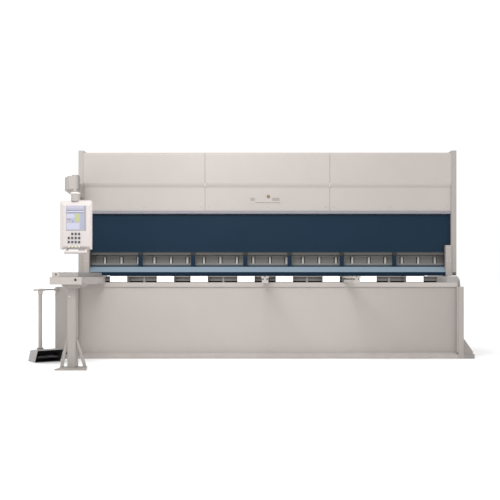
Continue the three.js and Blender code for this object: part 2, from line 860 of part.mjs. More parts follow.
buttonRows.forEach(({ z, columns }, row) =>
  columns.forEach((column) =>
    place(
      "button_" + (row + 1) + "_" + (column + 1),
      rod("y", CASE.front - 7, CASE.front + 10, buttonX(column), z, BUTTON_RADIUS, 12),
      "button_grey",
    ),
  ),
);

export default machine;
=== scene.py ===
"""Looks of the hydraulic guillotine shear: camera, lights, materials and the small hardware on the CAD frame.

Metres, in the CAD model's frame: X to the operator's right, Y away from the operator, Z up. The origin is on
the floor, under the middle of the cutting plane.
"""

import itertools
import math

import bmesh
import bpy
from mathutils import Matrix, Vector


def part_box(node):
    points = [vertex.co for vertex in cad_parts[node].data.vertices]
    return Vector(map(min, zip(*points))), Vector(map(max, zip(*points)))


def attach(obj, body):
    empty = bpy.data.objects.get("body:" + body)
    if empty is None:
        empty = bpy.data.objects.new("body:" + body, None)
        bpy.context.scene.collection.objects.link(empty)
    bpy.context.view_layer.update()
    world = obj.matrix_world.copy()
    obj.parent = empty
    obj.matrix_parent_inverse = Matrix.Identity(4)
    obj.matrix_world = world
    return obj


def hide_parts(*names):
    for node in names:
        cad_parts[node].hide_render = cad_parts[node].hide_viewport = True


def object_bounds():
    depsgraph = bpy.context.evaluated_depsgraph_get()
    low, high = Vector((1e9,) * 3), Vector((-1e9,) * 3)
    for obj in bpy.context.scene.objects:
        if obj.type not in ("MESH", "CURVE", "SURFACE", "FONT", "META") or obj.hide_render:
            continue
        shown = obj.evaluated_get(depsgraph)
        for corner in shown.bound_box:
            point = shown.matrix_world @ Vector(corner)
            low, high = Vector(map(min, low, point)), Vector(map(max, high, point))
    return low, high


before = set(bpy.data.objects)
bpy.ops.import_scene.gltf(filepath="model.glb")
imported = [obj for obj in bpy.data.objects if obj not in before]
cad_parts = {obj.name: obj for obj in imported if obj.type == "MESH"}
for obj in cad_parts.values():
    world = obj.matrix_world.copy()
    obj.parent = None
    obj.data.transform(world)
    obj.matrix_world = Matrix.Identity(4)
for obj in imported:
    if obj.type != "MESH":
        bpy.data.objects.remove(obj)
cad_low, cad_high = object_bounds()


UP, FRONT, REAR = (0, 0, 1), (0, -1, 0), (0, 1, 0)

# ---------------------------------------------------------------- mesh tools


def meshes(count):
    """As many empty meshes as asked for."""
    return [bmesh.new() for _ in range(count)]


def turned(normal):
    """The rotation that takes +Z to a direction."""
    return Vector((0, 0, 1)).rotation_difference(Vector(normal)).to_matrix().to_4x4()


def add_box(bm, low, high):
    """A box from its lowest and highest corners."""
    low, high = Vector(low), Vector(high)
    size = Matrix.Diagonal((*(high - low), 1))
    bmesh.ops.create_cube(bm, size=1, matrix=Matrix.Translation((low + high) / 2) @ size)


def add_lathe(bm, centre, normal, profile, steps=24):
    """A closed profile of (radius, height) points turned about an axis through centre."""
    place = Matrix.Translation(centre) @ turned(normal)
    rings = []
    for radius, height in profile:
        if radius < 1e-7:
            rings.append([bm.verts.new(place @ Vector((0, 0, height)))])
            continue
        angles = [2 * math.pi * i / steps for i in range(steps)]
        spots = [Vector((radius * math.cos(a), radius * math.sin(a), height)) for a in angles]
        rings.append([bm.verts.new(place @ spot) for spot in spots])
    closed = len(rings[0]) > 1
    for k in range(len(rings) if closed else len(rings) - 1):
        a, b = rings[k], rings[(k + 1) % len(rings)]
        for i in range(steps):
            j = (i + 1) % steps
            corners = [a[i % len(a)], a[j % len(a)], b[j % len(b)], b[i % len(b)]]
            face = list(dict.fromkeys(corners))
            if len(face) > 2:
                bm.faces.new(face)


def add_prism(bm, axis, start, end, outline):
    """An outline extruded along an axis; its points are the other two coordinates, in X, Y, Z order."""
    order = {"x": (2, 0, 1), "y": (0, 2, 1), "z": (0, 1, 2)}[axis]

    def corner(u, v, w):
        values = (u, v, w)
        return Vector([values[i] for i in order])

    rings = [[bm.verts.new(corner(u, v, w)) for u, v in outline] for w in (start, end)]
    bm.faces.new(rings[0])
    bm.faces.new(rings[1][::-1])
    for i in range(len(outline)):
        j = (i + 1) % len(outline)
        bm.faces.new([rings[0][i], rings[1][i], rings[1][j], rings[0][j]])


def rounded_route(corners, bend, steps=5):
    """The corners of a route, each turned into a smooth bend."""
    corners = [Vector(c) for c in corners]
    route = [corners[0]]
    for before, corner, after in zip(corners, corners[1:], corners[2:]):
        start = corner + (before - corner).normalized() * bend
        end = corner + (after - corner).normalized() * bend
        for i in range(steps + 1):
            t = i / steps
            route.append(start * (1 - t) ** 2 + corner * 2 * t * (1 - t) + end * t**2)
    route.append(corners[-1])
    return route


def add_tube(bm, route, radius, sides=14):
    """A round bar along a route."""
    tangents = []
    for i in range(len(route)):
        ahead, behind = route[min(i + 1, len(route) - 1)], route[max(i - 1, 0)]
        tangents.append((ahead - behind).normalized())
    side = tangents[0].orthogonal().normalized()
    rings = []
    for spot, tangent in zip(route, tangents):
        side = (side - tangent * side.dot(tangent)).normalized()
        other = tangent.cross(side)
        angles = [2 * math.pi * k / sides for k in range(sides)]
        rings.append(
            [bm.verts.new(spot + (side * math.cos(a) + other * math.sin(a)) * radius) for a in angles]
        )
    for a, b in zip(rings, rings[1:]):
        for k in range(sides):
            j = (k + 1) % sides
            bm.faces.new([a[k], a[j], b[j], b[k]])
    bm.faces.new(rings[0][::-1])
    bm.faces.new(rings[-1])


def add_disc(bm, place, normal, radius, height, steps=24, base=0.0):
    """A plain round or many-sided plate standing on a face."""
    top = base + height
    add_lathe(bm, place, normal, [(0, base), (radius, base), (radius, top), (0, top)], steps)


def add_ring(bm, place, normal, inner, outer, height, steps=24):
    """A plain ring standing on a face."""
    add_lathe(bm, place, normal, [(inner, 0), (outer, 0), (outer, height), (inner, height)], steps)


def add_hex_bolt(bm, place, normal, across):
    """A hexagon bolt head on its washer, standing on a face."""
    washer, rim = 0.12 * across, 0.98 * across
    washer_profile = [(0, 0), (rim, 0), (rim, washer * 0.8), (across * 0.9, washer), (0, washer)]
    add_lathe(bm, place, normal, washer_profile, 20)
    radius, head = across / math.sqrt(3), washer + 0.62 * across
    shoulder = head - 0.1 * across
    head_profile = [(0, washer), (radius, washer), (radius, shoulder), (radius * 0.84, head), (0, head)]
    add_lathe(bm, place, normal, head_profile, 6)


def add_button_screw(bm, place, normal, radius):
    """A low round screw head with a socket."""
    profile = [
        (0, 0),
        (radius, 0),
        (radius * 0.94, radius * 0.3),
        (radius * 0.7, radius * 0.52),
        (radius * 0.45, radius * 0.58),
        (radius * 0.4, radius * 0.25),
        (0, radius * 0.25),
    ]
    add_lathe(bm, place, normal, profile, 16)


def add_flush_screw(bm, place, normal, radius):
    """The rim of a countersunk screw, level with its plate, round a hexagon socket."""
    skin = 0.00008
    add_ring(bm, place, normal, radius * 0.5, radius, skin, 18)
    add_disc(bm, place, normal, radius * 0.36, skin, 6)


def spread(low, high, count):
    """Evenly spaced values, both ends included."""
    return [low + (high - low) * i / (count - 1) for i in range(count)]


def mirrored(x):
    return (-x, x)


def add_screws(bm, normal, radius, xs, ys, zs):
    """A round screw head at every crossing of three lists of coordinates."""
    for place in itertools.product(xs, ys, zs):
        add_button_screw(bm, place, normal, radius)


def add_box_pair(bm, x, y, z):
    """A box on each side of the machine's middle, from its ranges on the three axes, X taken to the right."""
    for sign in (-1, 1):
        left, right = sorted((sign * x[0], sign * x[1]))
        add_box(bm, (left, y[0], z[0]), (right, y[1], z[1]))


def dress(obj, bevel):
    """Rounds the edges and smooths the shading between them."""
    weld = obj.modifiers.new("weld", "WELD")
    weld.merge_threshold = 1e-5
    flat = obj.modifiers.new("flat", "DECIMATE")
    flat.decimate_type = "DISSOLVE"
    flat.angle_limit = math.radians(0.5)
    if bevel:
        edge = obj.modifiers.new("edge", "BEVEL")
        edge.width = bevel
        edge.segments = 2
        edge.limit_method = "ANGLE"
        edge.angle_limit = math.radians(32)
        edge.use_clamp_overlap = True
    normals = obj.modifiers.new("normals", "WEIGHTED_NORMAL")
    normals.keep_sharp = False
    normals.weight = 80


def piece(name, bm, material, bevel=0.0, body="machine_frame"):
    """A new object from bmesh geometry, riding on a CAD body."""
    bmesh.ops.recalc_face_normals(bm, faces=bm.faces)
    mesh = bpy.data.meshes.new(name)
    bm.to_mesh(mesh)
    bm.free()
    mesh.polygons.foreach_set("use_smooth", [True] * len(mesh.polygons))
    mesh.materials.append(material)
    obj = bpy.data.objects.new(name, mesh)
    bpy.context.scene.collection.objects.link(obj)
    dress(obj, bevel)
    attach(obj, body)
    return obj


# ---------------------------------------------------------------- sizes used in more than one place

TOUCH = 0.0002  # left between an added piece and the face that it sits on
COVER_SIDES = ("left", "centre", "right")
COVER_FACE = -0.234
FRAME_SIDE, FRAME_FRONT = 2.258, -0.25
FOLD_LOW, FOLD_HIGH = 2.018, 2.06  # the covers' fold
FOLD_SHADE = 0.028
CLAMP_PITCH, CLAMP_SHIFT, CLAMPS_EACH_SIDE = 0.2, 0.03, 10
CLAMP_Y, CLAMP_BAR_FACE = -0.07, -0.0902
CYLINDER_X, CYLINDER_Y, PORT_TOP = 2.06, 0.051, 2.31
GAUGE_ARM_X = 1.5
BOOM_PIVOT = (-2.225, -0.31)
TUBE_X, TUBE_Y = -2.035, -1.3  # the drop tube, on which the control panel turns
PANEL_FRONT = -1.36
HINGE_X, HINGE_Y = -2.437, 0.304  # the cabinet door's hinge

# ---------------------------------------------------------------- materials


class Finish:
    """A node material under construction."""

    def __init__(self, name):
        self.material = bpy.data.materials.new(name)
        self.material.use_nodes = True
        self.nodes = self.material.node_tree.nodes
        self.links = self.material.node_tree.links
        self.shader = self.nodes["Principled BSDF"]
        self.where = self.nodes.new("ShaderNodeTexCoord").outputs["Object"]

    def set(self, **sockets):
        for name, value in sockets.items():
            self.shader.inputs[name.replace("_", " ")].default_value = value

    def to(self, output, socket):
        self.links.new(output, self.shader.inputs[socket])

    def node(self, kind, inputs, **settings):
        """A node with its settings and its inputs, each a value or another node's output."""
        node = self.nodes.new(kind)
        for name, value in settings.items():
            setattr(node, name, value)
        for name, value in inputs.items():
            if isinstance(value, bpy.types.NodeSocket):
                self.links.new(value, node.inputs[name])
            else:
                node.inputs[name].default_value = value
        return node

    def stretched(self, scale):
        return self.node("ShaderNodeMapping", {"Vector": self.where, "Scale": scale}).outputs[0]

    def noise(self, scale, detail=3.0, roughness=0.5, where=None):
        inputs = {"Vector": where or self.where, "Scale": scale, "Detail": detail, "Roughness": roughness}
        return self.node("ShaderNodeTexNoise", inputs).outputs["Fac"]

    def range(self, value, low, high, to_low, to_high):
        inputs = {"Value": value, "From Min": low, "From Max": high, "To Min": to_low, "To Max": to_high}
        return self.node("ShaderNodeMapRange", inputs, interpolation_type="SMOOTHSTEP").outputs[0]

    def math(self, operation, a, b):
        return self.node("ShaderNodeMath", {0: a, 1: b}, operation=operation).outputs[0]

    def mix(self, factor, a, b, blend="MIX"):
        """Mixes two colours, each a tuple or an output."""
        node = self.node("ShaderNodeMix", {0: factor}, data_type="RGBA", blend_type=blend)
        for socket, value in ((node.inputs[6], a), (node.inputs[7], b)):
            if isinstance(value, bpy.types.NodeSocket):
                self.links.new(value, socket)
            else:
                socket.default_value = (*value[:3], 1)
        return node.outputs[2]

    def coordinate(self, axis):
        return self.node("ShaderNodeSeparateXYZ", {0: self.where}).outputs[axis]

    def edges(self, radius):
        """1 on the edges of the shape, 0 on its flats."""
        round_normal = self.node("ShaderNodeBevel", {"Radius": radius}, samples=4).outputs[0]
        true_normal = self.node("ShaderNodeNewGeometry", {}).outputs["Normal"]
        dot = self.node("ShaderNodeVectorMath", {0: round_normal, 1: true_normal}, operation="DOT_PRODUCT")
        return self.range(dot.outputs["Value"], 0.995, 0.9, 0, 1)

    def bump(self, height, strength, distance):
        inputs = {"Height": height, "Strength": strength, "Distance": distance}
        self.to(self.node("ShaderNodeBump", inputs).outputs[0], "Normal")


def linear(red, green, blue):
    """An 8-bit display colour as a linear one."""
    return tuple(((c / 255 + 0.055) / 1.055) ** 2.4 for c in (red, green, blue))


def scaled(color, factor):
    return tuple(min(1.0, c * factor) for c in color)


def paint(name, color, rough=0.42, under=(0.20, 0.19, 0.18), wear=0.3, dust=0.2, second=None, shine=0.3):
    """Powder coat: cloudy tone, orange peel, scuffed edges showing the primer, and dust near the floor."""
    f = Finish(name)
    tone = f.noise(0.9, 5, 0.6)
    body = f.mix(f.range(tone, 0.3, 0.7, 0, 1), scaled(color, 0.965), scaled(color, 1.02))
    if second:
        other, axis, low, high = second
        body = f.mix(f.range(f.coordinate(axis), low, high, 0, 1), body, other)
    height = f.coordinate("Z")
    patches = f.range(f.noise(7, 6, 0.65), 0.35, 0.7, 0.2, 1)
    grime = f.math("MULTIPLY", f.range(height, 0.22, 0.0, 0, dust), patches)
    body = f.mix(grime, body, scaled(color, 0.55))
    spots = f.range(f.noise(60, 4, 0.7), 0.5, 0.66, 0, wear)
    scuffs = f.math("MULTIPLY", f.edges(0.004), spots)
    f.to(f.mix(scuffs, body, under), "Base Color")
    smear = f.noise(3.5, 5, 0.7)
    f.to(f.range(smear, 0.25, 0.75, rough - 0.07, rough + 0.1), "Roughness")
    f.bump(f.noise(420, 2, 0.5), 0.12, 0.0006)
    f.set(Specular_IOR_Level=shine)
    return f.material


def machined(name, color, rough=0.3, along=0, oil=0.25):
    """Milled or ground steel: fine lines along one axis, oily patches and brighter edges."""
    f = Finish(name)
    scale = [260.0, 260.0, 260.0]
    scale[along] = 6.0
    lines = f.noise(1.0, 3, 0.6, f.stretched(tuple(scale)))
    stain = f.range(f.noise(5, 6, 0.65), 0.42, 0.68, 0, oil)
    body = f.mix(lines, scaled(color, 0.86), scaled(color, 1.1))
    body = f.mix(stain, body, scaled(color, 0.5))
    f.to(f.mix(f.math("MULTIPLY", f.edges(0.003), 0.6), body, scaled(color, 1.45)), "Base Color")
    grain = f.range(lines, 0.3, 0.7, rough - 0.05, rough + 0.08)
    f.to(f.math("ADD", grain, f.math("MULTIPLY", stain, 0.3)), "Roughness")
    f.set(Metallic=1.0)
    f.bump(lines, 0.15, 0.0003)
    return f.material


def plated(name, color, rough=0.18):
    """Chromed or zinc-plated hardware with faint tarnish."""
    f = Finish(name)
    cloud = f.range(f.noise(22, 5, 0.6), 0.35, 0.7, 0, 0.5)
    f.to(f.mix(cloud, color, scaled(color, 0.68)), "Base Color")
    f.to(f.range(f.noise(70, 3, 0.6), 0.3, 0.7, rough - 0.05, rough + 0.12), "Roughness")
    f.set(Metallic=1.0)
    f.bump(f.noise(900, 2), 0.06, 0.0002)
    return f.material


def moulded(name, color, rough=0.4, grain=900.0, depth=0.12, worn=0.12):
    """Moulded plastic or rubber: fine grain, handling shine and slightly lighter edges."""
    f = Finish(name)
    tone = f.range(f.noise(4, 4, 0.6), 0.3, 0.7, 0, 1)
    body = f.mix(tone, scaled(color, 0.94), scaled(color, 1.03))
    lighter = tuple(c + (1 - c) * 0.25 for c in color)
    f.to(f.mix(f.math("MULTIPLY", f.edges(0.003), worn), body, lighter), "Base Color")
    f.to(f.range(f.noise(12, 5, 0.65), 0.3, 0.7, rough - 0.08, rough + 0.1), "Roughness")
    f.bump(f.noise(grain, 2), depth, 0.0004)
    return f.material


def lit_screen(name, color, glow=0.06):
    """A display surface with a fine pixel grid and a little light of its own."""
    f = Finish(name)
    grid = f.noise(1500, 1, 0.4)
    shade = f.mix(f.range(grid, 0.35, 0.65, 0, 1), scaled(color, 0.94), scaled(color, 1.04))
    f.to(shade, "Base Color")
    f.to(shade, "Emission Color")
    f.to(f.range(f.noise(30, 3), 0.3, 0.7, 0.12, 0.22), "Roughness")
    f.set(Emission_Strength=glow)
    return f.material


def rule(name, color, axis, pitch=0.01):
    """A steel rule: dark ticks at every step along one axis."""
    f = Finish(name)
    place = f.math("DIVIDE", f.coordinate(axis), pitch)
    near = f.math("PINGPONG", place, 0.5)
    ticks = f.range(near, 0.10, 0.05, 0, 0.85)
    brushed = f.noise(1.0, 3, 0.6, f.stretched((300.0, 8.0, 300.0)))
    body = f.mix(brushed, scaled(color, 0.9), scaled(color, 1.1))
    f.to(f.mix(ticks, body, (0.02, 0.02, 0.022)), "Base Color")
    f.to(f.range(brushed, 0.3, 0.7, 0.28, 0.42), "Roughness")
    f.set(Metallic=0.8)
    return f.material


LIGHT_GREY = (0.37, 0.338, 0.318)
DARK_BLUE = (0.0055, 0.019, 0.037)
# The guard's dark blue as lit from above: a painted highlight.
LIT_GUARD_BLUE = (0.187, 0.243, 0.296)
GREY = (0.27, 0.258, 0.25)
MID_GREY = (0.19, 0.185, 0.175)
DARK_GREY = (0.055, 0.058, 0.065)
PANEL_WHITE = (0.475, 0.437, 0.426)
STEEL = (0.56, 0.56, 0.57)

light_grey = paint("light_grey_powder_coat", LIGHT_GREY)
dark_blue = paint("dark_blue_powder_coat", DARK_BLUE, 0.4, linear(120, 130, 138), shine=0.12)
white = paint("white_powder_coat", linear(246, 244, 242), 0.38)
grey = paint("grey_powder_coat", GREY)
# A lighter copy of the panel's white: a painted highlight on the case's sides.
side_highlight_white = paint("panel_side_highlight_coat", scaled(PANEL_WHITE, 1.75), 0.32)
lavender = paint("trim_strip_coat", (0.22, 0.215, 0.24), 0.32)
mid_grey = paint("clamp_bar_coat", MID_GREY)
# Dark grey for the hand recesses: painted shade.
recess_shade_grey = paint("recess_painted_shade_coat", (0.2, 0.192, 0.187))
rail_grey = paint("window_rail_coat", scaled(MID_GREY, 0.5))
# Darker copies of the light grey as painted shade: on the leg, the pedal pole, the bed's corner posts, and
# the cabinet and right end cover.
leg_shaded_grey = paint("leg_coat", scaled(LIGHT_GREY, 0.8))
pole_shaded_grey = paint("pole_coat", scaled(LIGHT_GREY, 0.84))
corner_post_shaded_grey = paint("corner_post_coat", scaled(LIGHT_GREY, 0.85))
cabinet_and_end_shaded_grey = paint("cabinet_coat", scaled(LIGHT_GREY, 0.88))
rib_grey = paint("rail_coat", scaled(MID_GREY, 1.3))
slate = paint("window_sill_coat", (0.055, 0.07, 0.085), 0.4)
dark_grey = paint("machine_enamel", DARK_GREY, 0.5, linear(150, 150, 150), 0.6)
black = paint("black_enamel", linear(34, 35, 38), 0.5, linear(120, 120, 120), 0.5)
steel = machined("milled_steel", STEEL, 0.34, 1)
steel_x = machined("drawn_steel", STEEL, 0.3, 0)
blade_steel = machined("ground_blade_steel", (0.62, 0.63, 0.65), 0.2, 0, 0.15)
zinc = plated("zinc_plated_bolts", (0.60, 0.60, 0.58), 0.3)
chrome = plated("hard_chrome", (0.78, 0.79, 0.8), 0.08)
black_plastic = moulded("black_plastic", linear(30, 31, 34), 0.45)
rubber = moulded("ribbed_rubber", linear(52, 53, 54), 0.7, 500.0, 0.3)
tread_grey = moulded("tread_strips", linear(150, 148, 146), 0.55, 500.0, 0.25)
olive = moulded("olive_mark", linear(116, 104, 62), 0.45)
screen_glass = lit_screen("screen_background", linear(150, 150, 162))
screen_dark = lit_screen("screen_lines", linear(104, 104, 124), 0.02)
screen_green = lit_screen("screen_patch", linear(156, 160, 118))
screen_side = lit_screen("screen_side_column", linear(142, 145, 162))
screen_top = lit_screen("screen_header_bar", linear(162, 158, 176))
screen_light = lit_screen("screen_light_rows", linear(166, 166, 182))
bezel_grey = moulded("screen_bezel", linear(140, 140, 143), 0.4)
screen_coats = (screen_glass, screen_dark, screen_green, screen_side, screen_top, screen_light)
button_dark = moulded("button_caps", linear(58, 54, 52), 0.16, 900.0, 0.03)
button_grey = moulded("button_bezels", linear(176, 178, 186), 0.3)
lamp_olive = moulded("lamp_lenses", linear(206, 208, 178), 0.2, 900.0, 0.03)
scale_rule = rule("steel_rule", (0.62, 0.62, 0.6), "Y")
glass = moulded("sight_glass", linear(150, 140, 90), 0.08, 900.0, 0.02)


def guard_coat():
    """The finger guard is dark blue; above the lip along its lower edge it is painted light blue, a painted
    highlight for the light on its upper face.
    """
    lip_height = 0.0405
    lip_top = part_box("finger_guard")[0].z + lip_height
    upper = (LIT_GUARD_BLUE, "Z", lip_top, lip_top + 0.001)
    return paint("guard_lit_top_coat", DARK_BLUE, 0.4, linear(120, 130, 138), 0.5, 0, upper, 0.08)


def ram_coat():
    """The blade beam is enamelled, with bare chromed rods at both ends above it."""
    f = Finish("ram_enamel_and_chrome")
    x = f.math("ABSOLUTE", f.coordinate("X"), 0.0)
    above_beam = f.range(f.coordinate("Z"), 1.638, 1.642, 0, 1)
    is_rod = f.math("MULTIPLY", f.range(x, 2.015, 2.02, 0, 1), above_beam)
    tone = f.range(f.noise(0.9, 5, 0.6), 0.3, 0.7, 0, 1)
    body = f.mix(tone, scaled(DARK_GREY, 0.94), scaled(DARK_GREY, 1.04))
    body = f.mix(f.math("MULTIPLY", f.edges(0.004), 0.5), body, linear(150, 150, 150))
    f.to(f.mix(is_rod, body, (0.78, 0.79, 0.8)), "Base Color")
    f.to(is_rod, "Metallic")
    f.to(f.range(f.math("MAXIMUM", is_rod, f.noise(6, 4)), 0.3, 1.0, 0.52, 0.1), "Roughness")
    f.bump(f.noise(420, 2), 0.1, 0.0005)
    return f.material


def clamp_coat():
    """The clamp bar is dull grey, and its ribs, which stand proud of it, are lighter."""
    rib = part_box("hold_down_clamps")[0].y
    bar = (MID_GREY, "Y", rib + 0.014, rib + 0.015)
    return paint("clamp_two_tone", (0.5, 0.485, 0.455), 0.45, under=STEEL, second=bar)


def panel_coat():
    """The panel's case is off-white, and its drop tube has the boom's colour."""
    case_top = 1.7502
    tube = (scaled(LIGHT_GREY, 0.88), "Z", case_top, case_top + 0.0005)
    return paint("panel_two_tone", PANEL_WHITE, 0.32, PANEL_WHITE, 0.1, 0, tube)


def frame_coat(side, tone):
    """A side frame's coat, darkened by its tone as painted shade, with painted shadow on the foot plate and
    gussets outside it.
    """
    gusset_shadow = scaled(LIGHT_GREY, 0.66)
    return paint(f"{side}_frame_coat", scaled(LIGHT_GREY, tone), second=(gusset_shadow, "X", 2.2585, 2.26))


def boom_coat():
    """The boom's coat, darkened as painted shade, and darker still on the side that faces the machine's
    middle.
    """
    painted_shade = (scaled(LIGHT_GREY, 0.55), "X", TUBE_X, TUBE_X + 0.05)
    return paint("boom_coat", scaled(LIGHT_GREY, 0.86), second=painted_shade)


def bed_coat():
    """The long front panel's coat, darkened a little towards the right-hand end as painted shade."""
    return paint("bed_panel_coat", LIGHT_GREY, second=(scaled(LIGHT_GREY, 0.81), "X", 0.5, 2.2))


def cover_fold_coats():
    """Painted shade on the covers' fold: across its slope, darker at its foot with a painted highlight at its
    top, and a painted shadow on the flat just below it.
    """
    painted_highlight = (scaled(LIGHT_GREY, 1.08), "Z", FOLD_LOW, FOLD_HIGH)
    painted_shade = (scaled(LIGHT_GREY, 0.84), "Z", FOLD_LOW - FOLD_SHADE, FOLD_LOW)
    crease = paint("fold_band_coat", scaled(LIGHT_GREY, 0.93), second=painted_highlight)
    return crease, paint("fold_shade_coat", LIGHT_GREY, second=painted_shade)


crease_coat, below_coat = cover_fold_coats()
# The coats of each paint or material slot. The first is the one that a CAD piece of that slot has.
SLOT_COATS = {
    "light_grey_paint": (light_grey, lavender, crease_coat, below_coat, corner_post_shaded_grey, olive, glass),
    "white_paint": (white,),
    "grey_paint": (grey, mid_grey, recess_shade_grey, rail_grey, rib_grey, tread_grey),
    "dark_grey_paint": (dark_grey,),
    "dark_blue_paint": (dark_blue, slate),
    "machined_steel": (steel, steel_x, zinc, chrome, scale_rule),
    "blade_steel": (blade_steel,),
    "black_paint": (black,),
    "black_plastic": (black_plastic, rubber),
    "button_plastic": (button_grey, button_dark),
    "panel_plastic": (side_highlight_white, bezel_grey, lamp_olive, *screen_coats),
}
NODE_FINISH = {
    "finger_guard": guard_coat(),
    "blade_beam": ram_coat(),
    "hold_down_clamps": clamp_coat(),
    "control_panel": panel_coat(),
    "support_leg": leg_shaded_grey,
    "pedal_pole": pole_shaded_grey,
    "electrical_cabinet": cabinet_and_end_shaded_grey,
    "bed_front_panel": bed_coat(),
    "control_boom": boom_coat(),
    "right_end_cover": cabinet_and_end_shaded_grey,
    # The side frames are darkened as painted shade, the right-hand one more.
    "left_side_frame": frame_coat("left", 0.9),
    "right_side_frame": frame_coat("right", 0.83),
}
NODE_BEVEL = {
    "control_panel": 0.004,
    "finger_guard": 0.001,
    "main_switch": 0.001,
    "pedal_pole": 0.0,
    "gauge_drive_shaft": 0.0006,
    "top_cover_left": 0.0006,
    "top_cover_centre": 0.0006,
    "top_cover_right": 0.0006,
    "support_leg": 0.004,
    "hold_down_clamps": 0.001,
}

for name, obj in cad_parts.items():
    slot_name = obj.data.materials[0].name
    finish = NODE_FINISH[name] if name in NODE_FINISH else SLOT_COATS[slot_name][0]
    obj.data.materials.clear()
    obj.data.materials.append(finish)
    obj.data.polygons.foreach_set("use_smooth", [True] * len(obj.data.polygons))
    usual_bevel = 0.0005 if name.startswith("button") else 0.0018
    dress(obj, NODE_BEVEL.get(name, usual_bevel))


# ---------------------------------------------------------------- places taken from the frame

cover_low, cover_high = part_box("top_cover_centre")
beam_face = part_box("hold_down_beam")[0].y
bed_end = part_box("bed_frame")[1].x


def clamp_places():
    """Where the clamps stand along the bar."""
    count = CLAMPS_EACH_SIDE
    return [CLAMP_SHIFT + CLAMP_PITCH * i for i in range(-count, count + 1)]


def gauge_shaft_place():
    """The Y and Z of the gauge drive shaft's axis."""
    low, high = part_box("gauge_drive_shaft")
    return (low.y + high.y) / 2, (low.z + high.z) / 2


# ---------------------------------------------------------------- covers


def trim_strip():
    """The strip that closes the joint under the top covers."""
    bm = bmesh.new()
    front, back, low, high = -0.240, beam_face - 0.0005, 1.694, 1.7295
    lip = 0.004
    outline = [(front + lip, low), (back, low), (back, high), (front, high), (front, low + lip)]
    add_prism(bm, "x", -bed_end, bed_end, outline)
    piece("trim_strip", bm, lavender, 0.001)
    bm = bmesh.new()
    for x in spread(-2.1, 2.1, 15):
        add_button_screw(bm, (x, front, (low + high) / 2), FRONT, 0.006)
    piece("trim_strip_screws", bm, lavender)


def cover_details():
    """Screws at the cover edges and a blank plate on the lower panel of the middle cover."""
    bm = bmesh.new()
    for side in COVER_SIDES:
        low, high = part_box(f"top_cover_{side}")
        xs = (low.x + 0.045, (low.x + high.x) / 2, high.x - 0.045)
        add_screws(bm, FRONT, 0.007, xs, (COVER_FACE,), (1.775,))
    piece("cover_screws", bm, light_grey)

    plate, bars, dot = meshes(3)
    plate_face = COVER_FACE - 0.0014
    add_box(plate, (-0.225, plate_face, 1.812), (0.175, COVER_FACE - TOUCH, 1.925))
    piece("blank_plate", plate, light_grey, 0.0005)
    rows = [(z, *ends) for z in (1.881, 1.868, 1.855) for ends in ((-0.205, -0.15), (0.055, 0.145))]
    for z, left, right in (*rows, (1.828, -0.145, 0.155)):
        add_box(bars, (left, plate_face - 0.001, z - 0.003), (right, plate_face, z + 0.003))
    piece("blank_plate_lines", bars, mid_grey)
    add_lathe(dot, (0.012, plate_face, 1.9), FRONT, [(0, 0), (0.021, 0), (0.017, 0.002), (0, 0.003)])
    piece("blank_plate_dot", dot, olive)


def cover_joints():
    """The painted shade on the fold half way up the covers, on thin skins, and the seals in the two joints
    between them.
    """
    upper_face, skin, half_seal = -0.248, 0.0004, 0.0012
    crease = [
        (COVER_FACE, FOLD_LOW),
        (COVER_FACE - skin, FOLD_LOW),
        (upper_face - skin, FOLD_HIGH),
        (upper_face, FOLD_HIGH),
    ]
    shade_low = FOLD_LOW - FOLD_SHADE
    below = [(y, z) for z in (shade_low, FOLD_LOW) for y in (COVER_FACE, COVER_FACE - skin)]
    below = [below[i] for i in (0, 1, 3, 2)]
    for side in COVER_SIDES:
        low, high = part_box(f"top_cover_{side}")
        for name, outline, coat in (("fold_band", crease, crease_coat), ("fold_shade", below, below_coat)):
            bm = bmesh.new()
            add_prism(bm, "x", low.x + 0.001, high.x - 0.001, outline)
            piece(f"{name}_{side}", bm, coat)
    bm = bmesh.new()
    for x in mirrored(cover_high.x + 0.0015):
        left, right = x - half_seal, x + half_seal
        add_box(bm, (left, upper_face + TOUCH, FOLD_HIGH), (right, upper_face + 0.003, cover_high.z - 0.034))
        add_box(bm, (left, COVER_FACE + 0.0008, cover_low.z + 0.004), (right, COVER_FACE + 0.003, FOLD_LOW))
    piece("cover_seals", bm, black)


def side_frame_details():
    """Bolts through the outer faces of the side frames."""
    bm = bmesh.new()
    upper = [(-0.12, 1.2), (-0.12, 1.58), (0.52, 1.56), (0.52, 1.78)]
    behind_cabinet = [(-0.36, 0.55), (-0.36, 0.25)]
    for sign, places in ((-1, upper), (1, upper + behind_cabinet)):
        for y, z in places:
            add_button_screw(bm, (sign * FRAME_SIDE, y, z), (sign, 0, 0), 0.02)
    piece("side_frame_bolts", bm, zinc)


def end_cover_details():
    """Screws on the covers at the two ends of the windows, and the two slots by the right one."""
    bm = bmesh.new()
    for node in ("left_end_cover", "right_end_cover"):
        low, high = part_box(node)
        zs = (low.z + 0.03, (low.z + high.z) / 2, high.z - 0.03)
        add_screws(bm, FRONT, 0.006, (low.x + 0.014, high.x - 0.014), (low.y,), zs)
    piece("end_cover_screws", bm, zinc)
    bm = bmesh.new()
    half_slot = 0.0065
    for z in (0.9655, 0.9855):
        corner = (2.251, FRAME_FRONT - TOUCH, z + half_slot)
        add_box(bm, (2.211, FRAME_FRONT - 0.0025, z - half_slot), corner)
    piece("frame_slots", bm, black_plastic, 0.001)


# ---------------------------------------------------------------- hold-down windows

WINDOW_POSTS = (-1.524, -0.893, -0.266, 0.266, 0.893, 1.524)


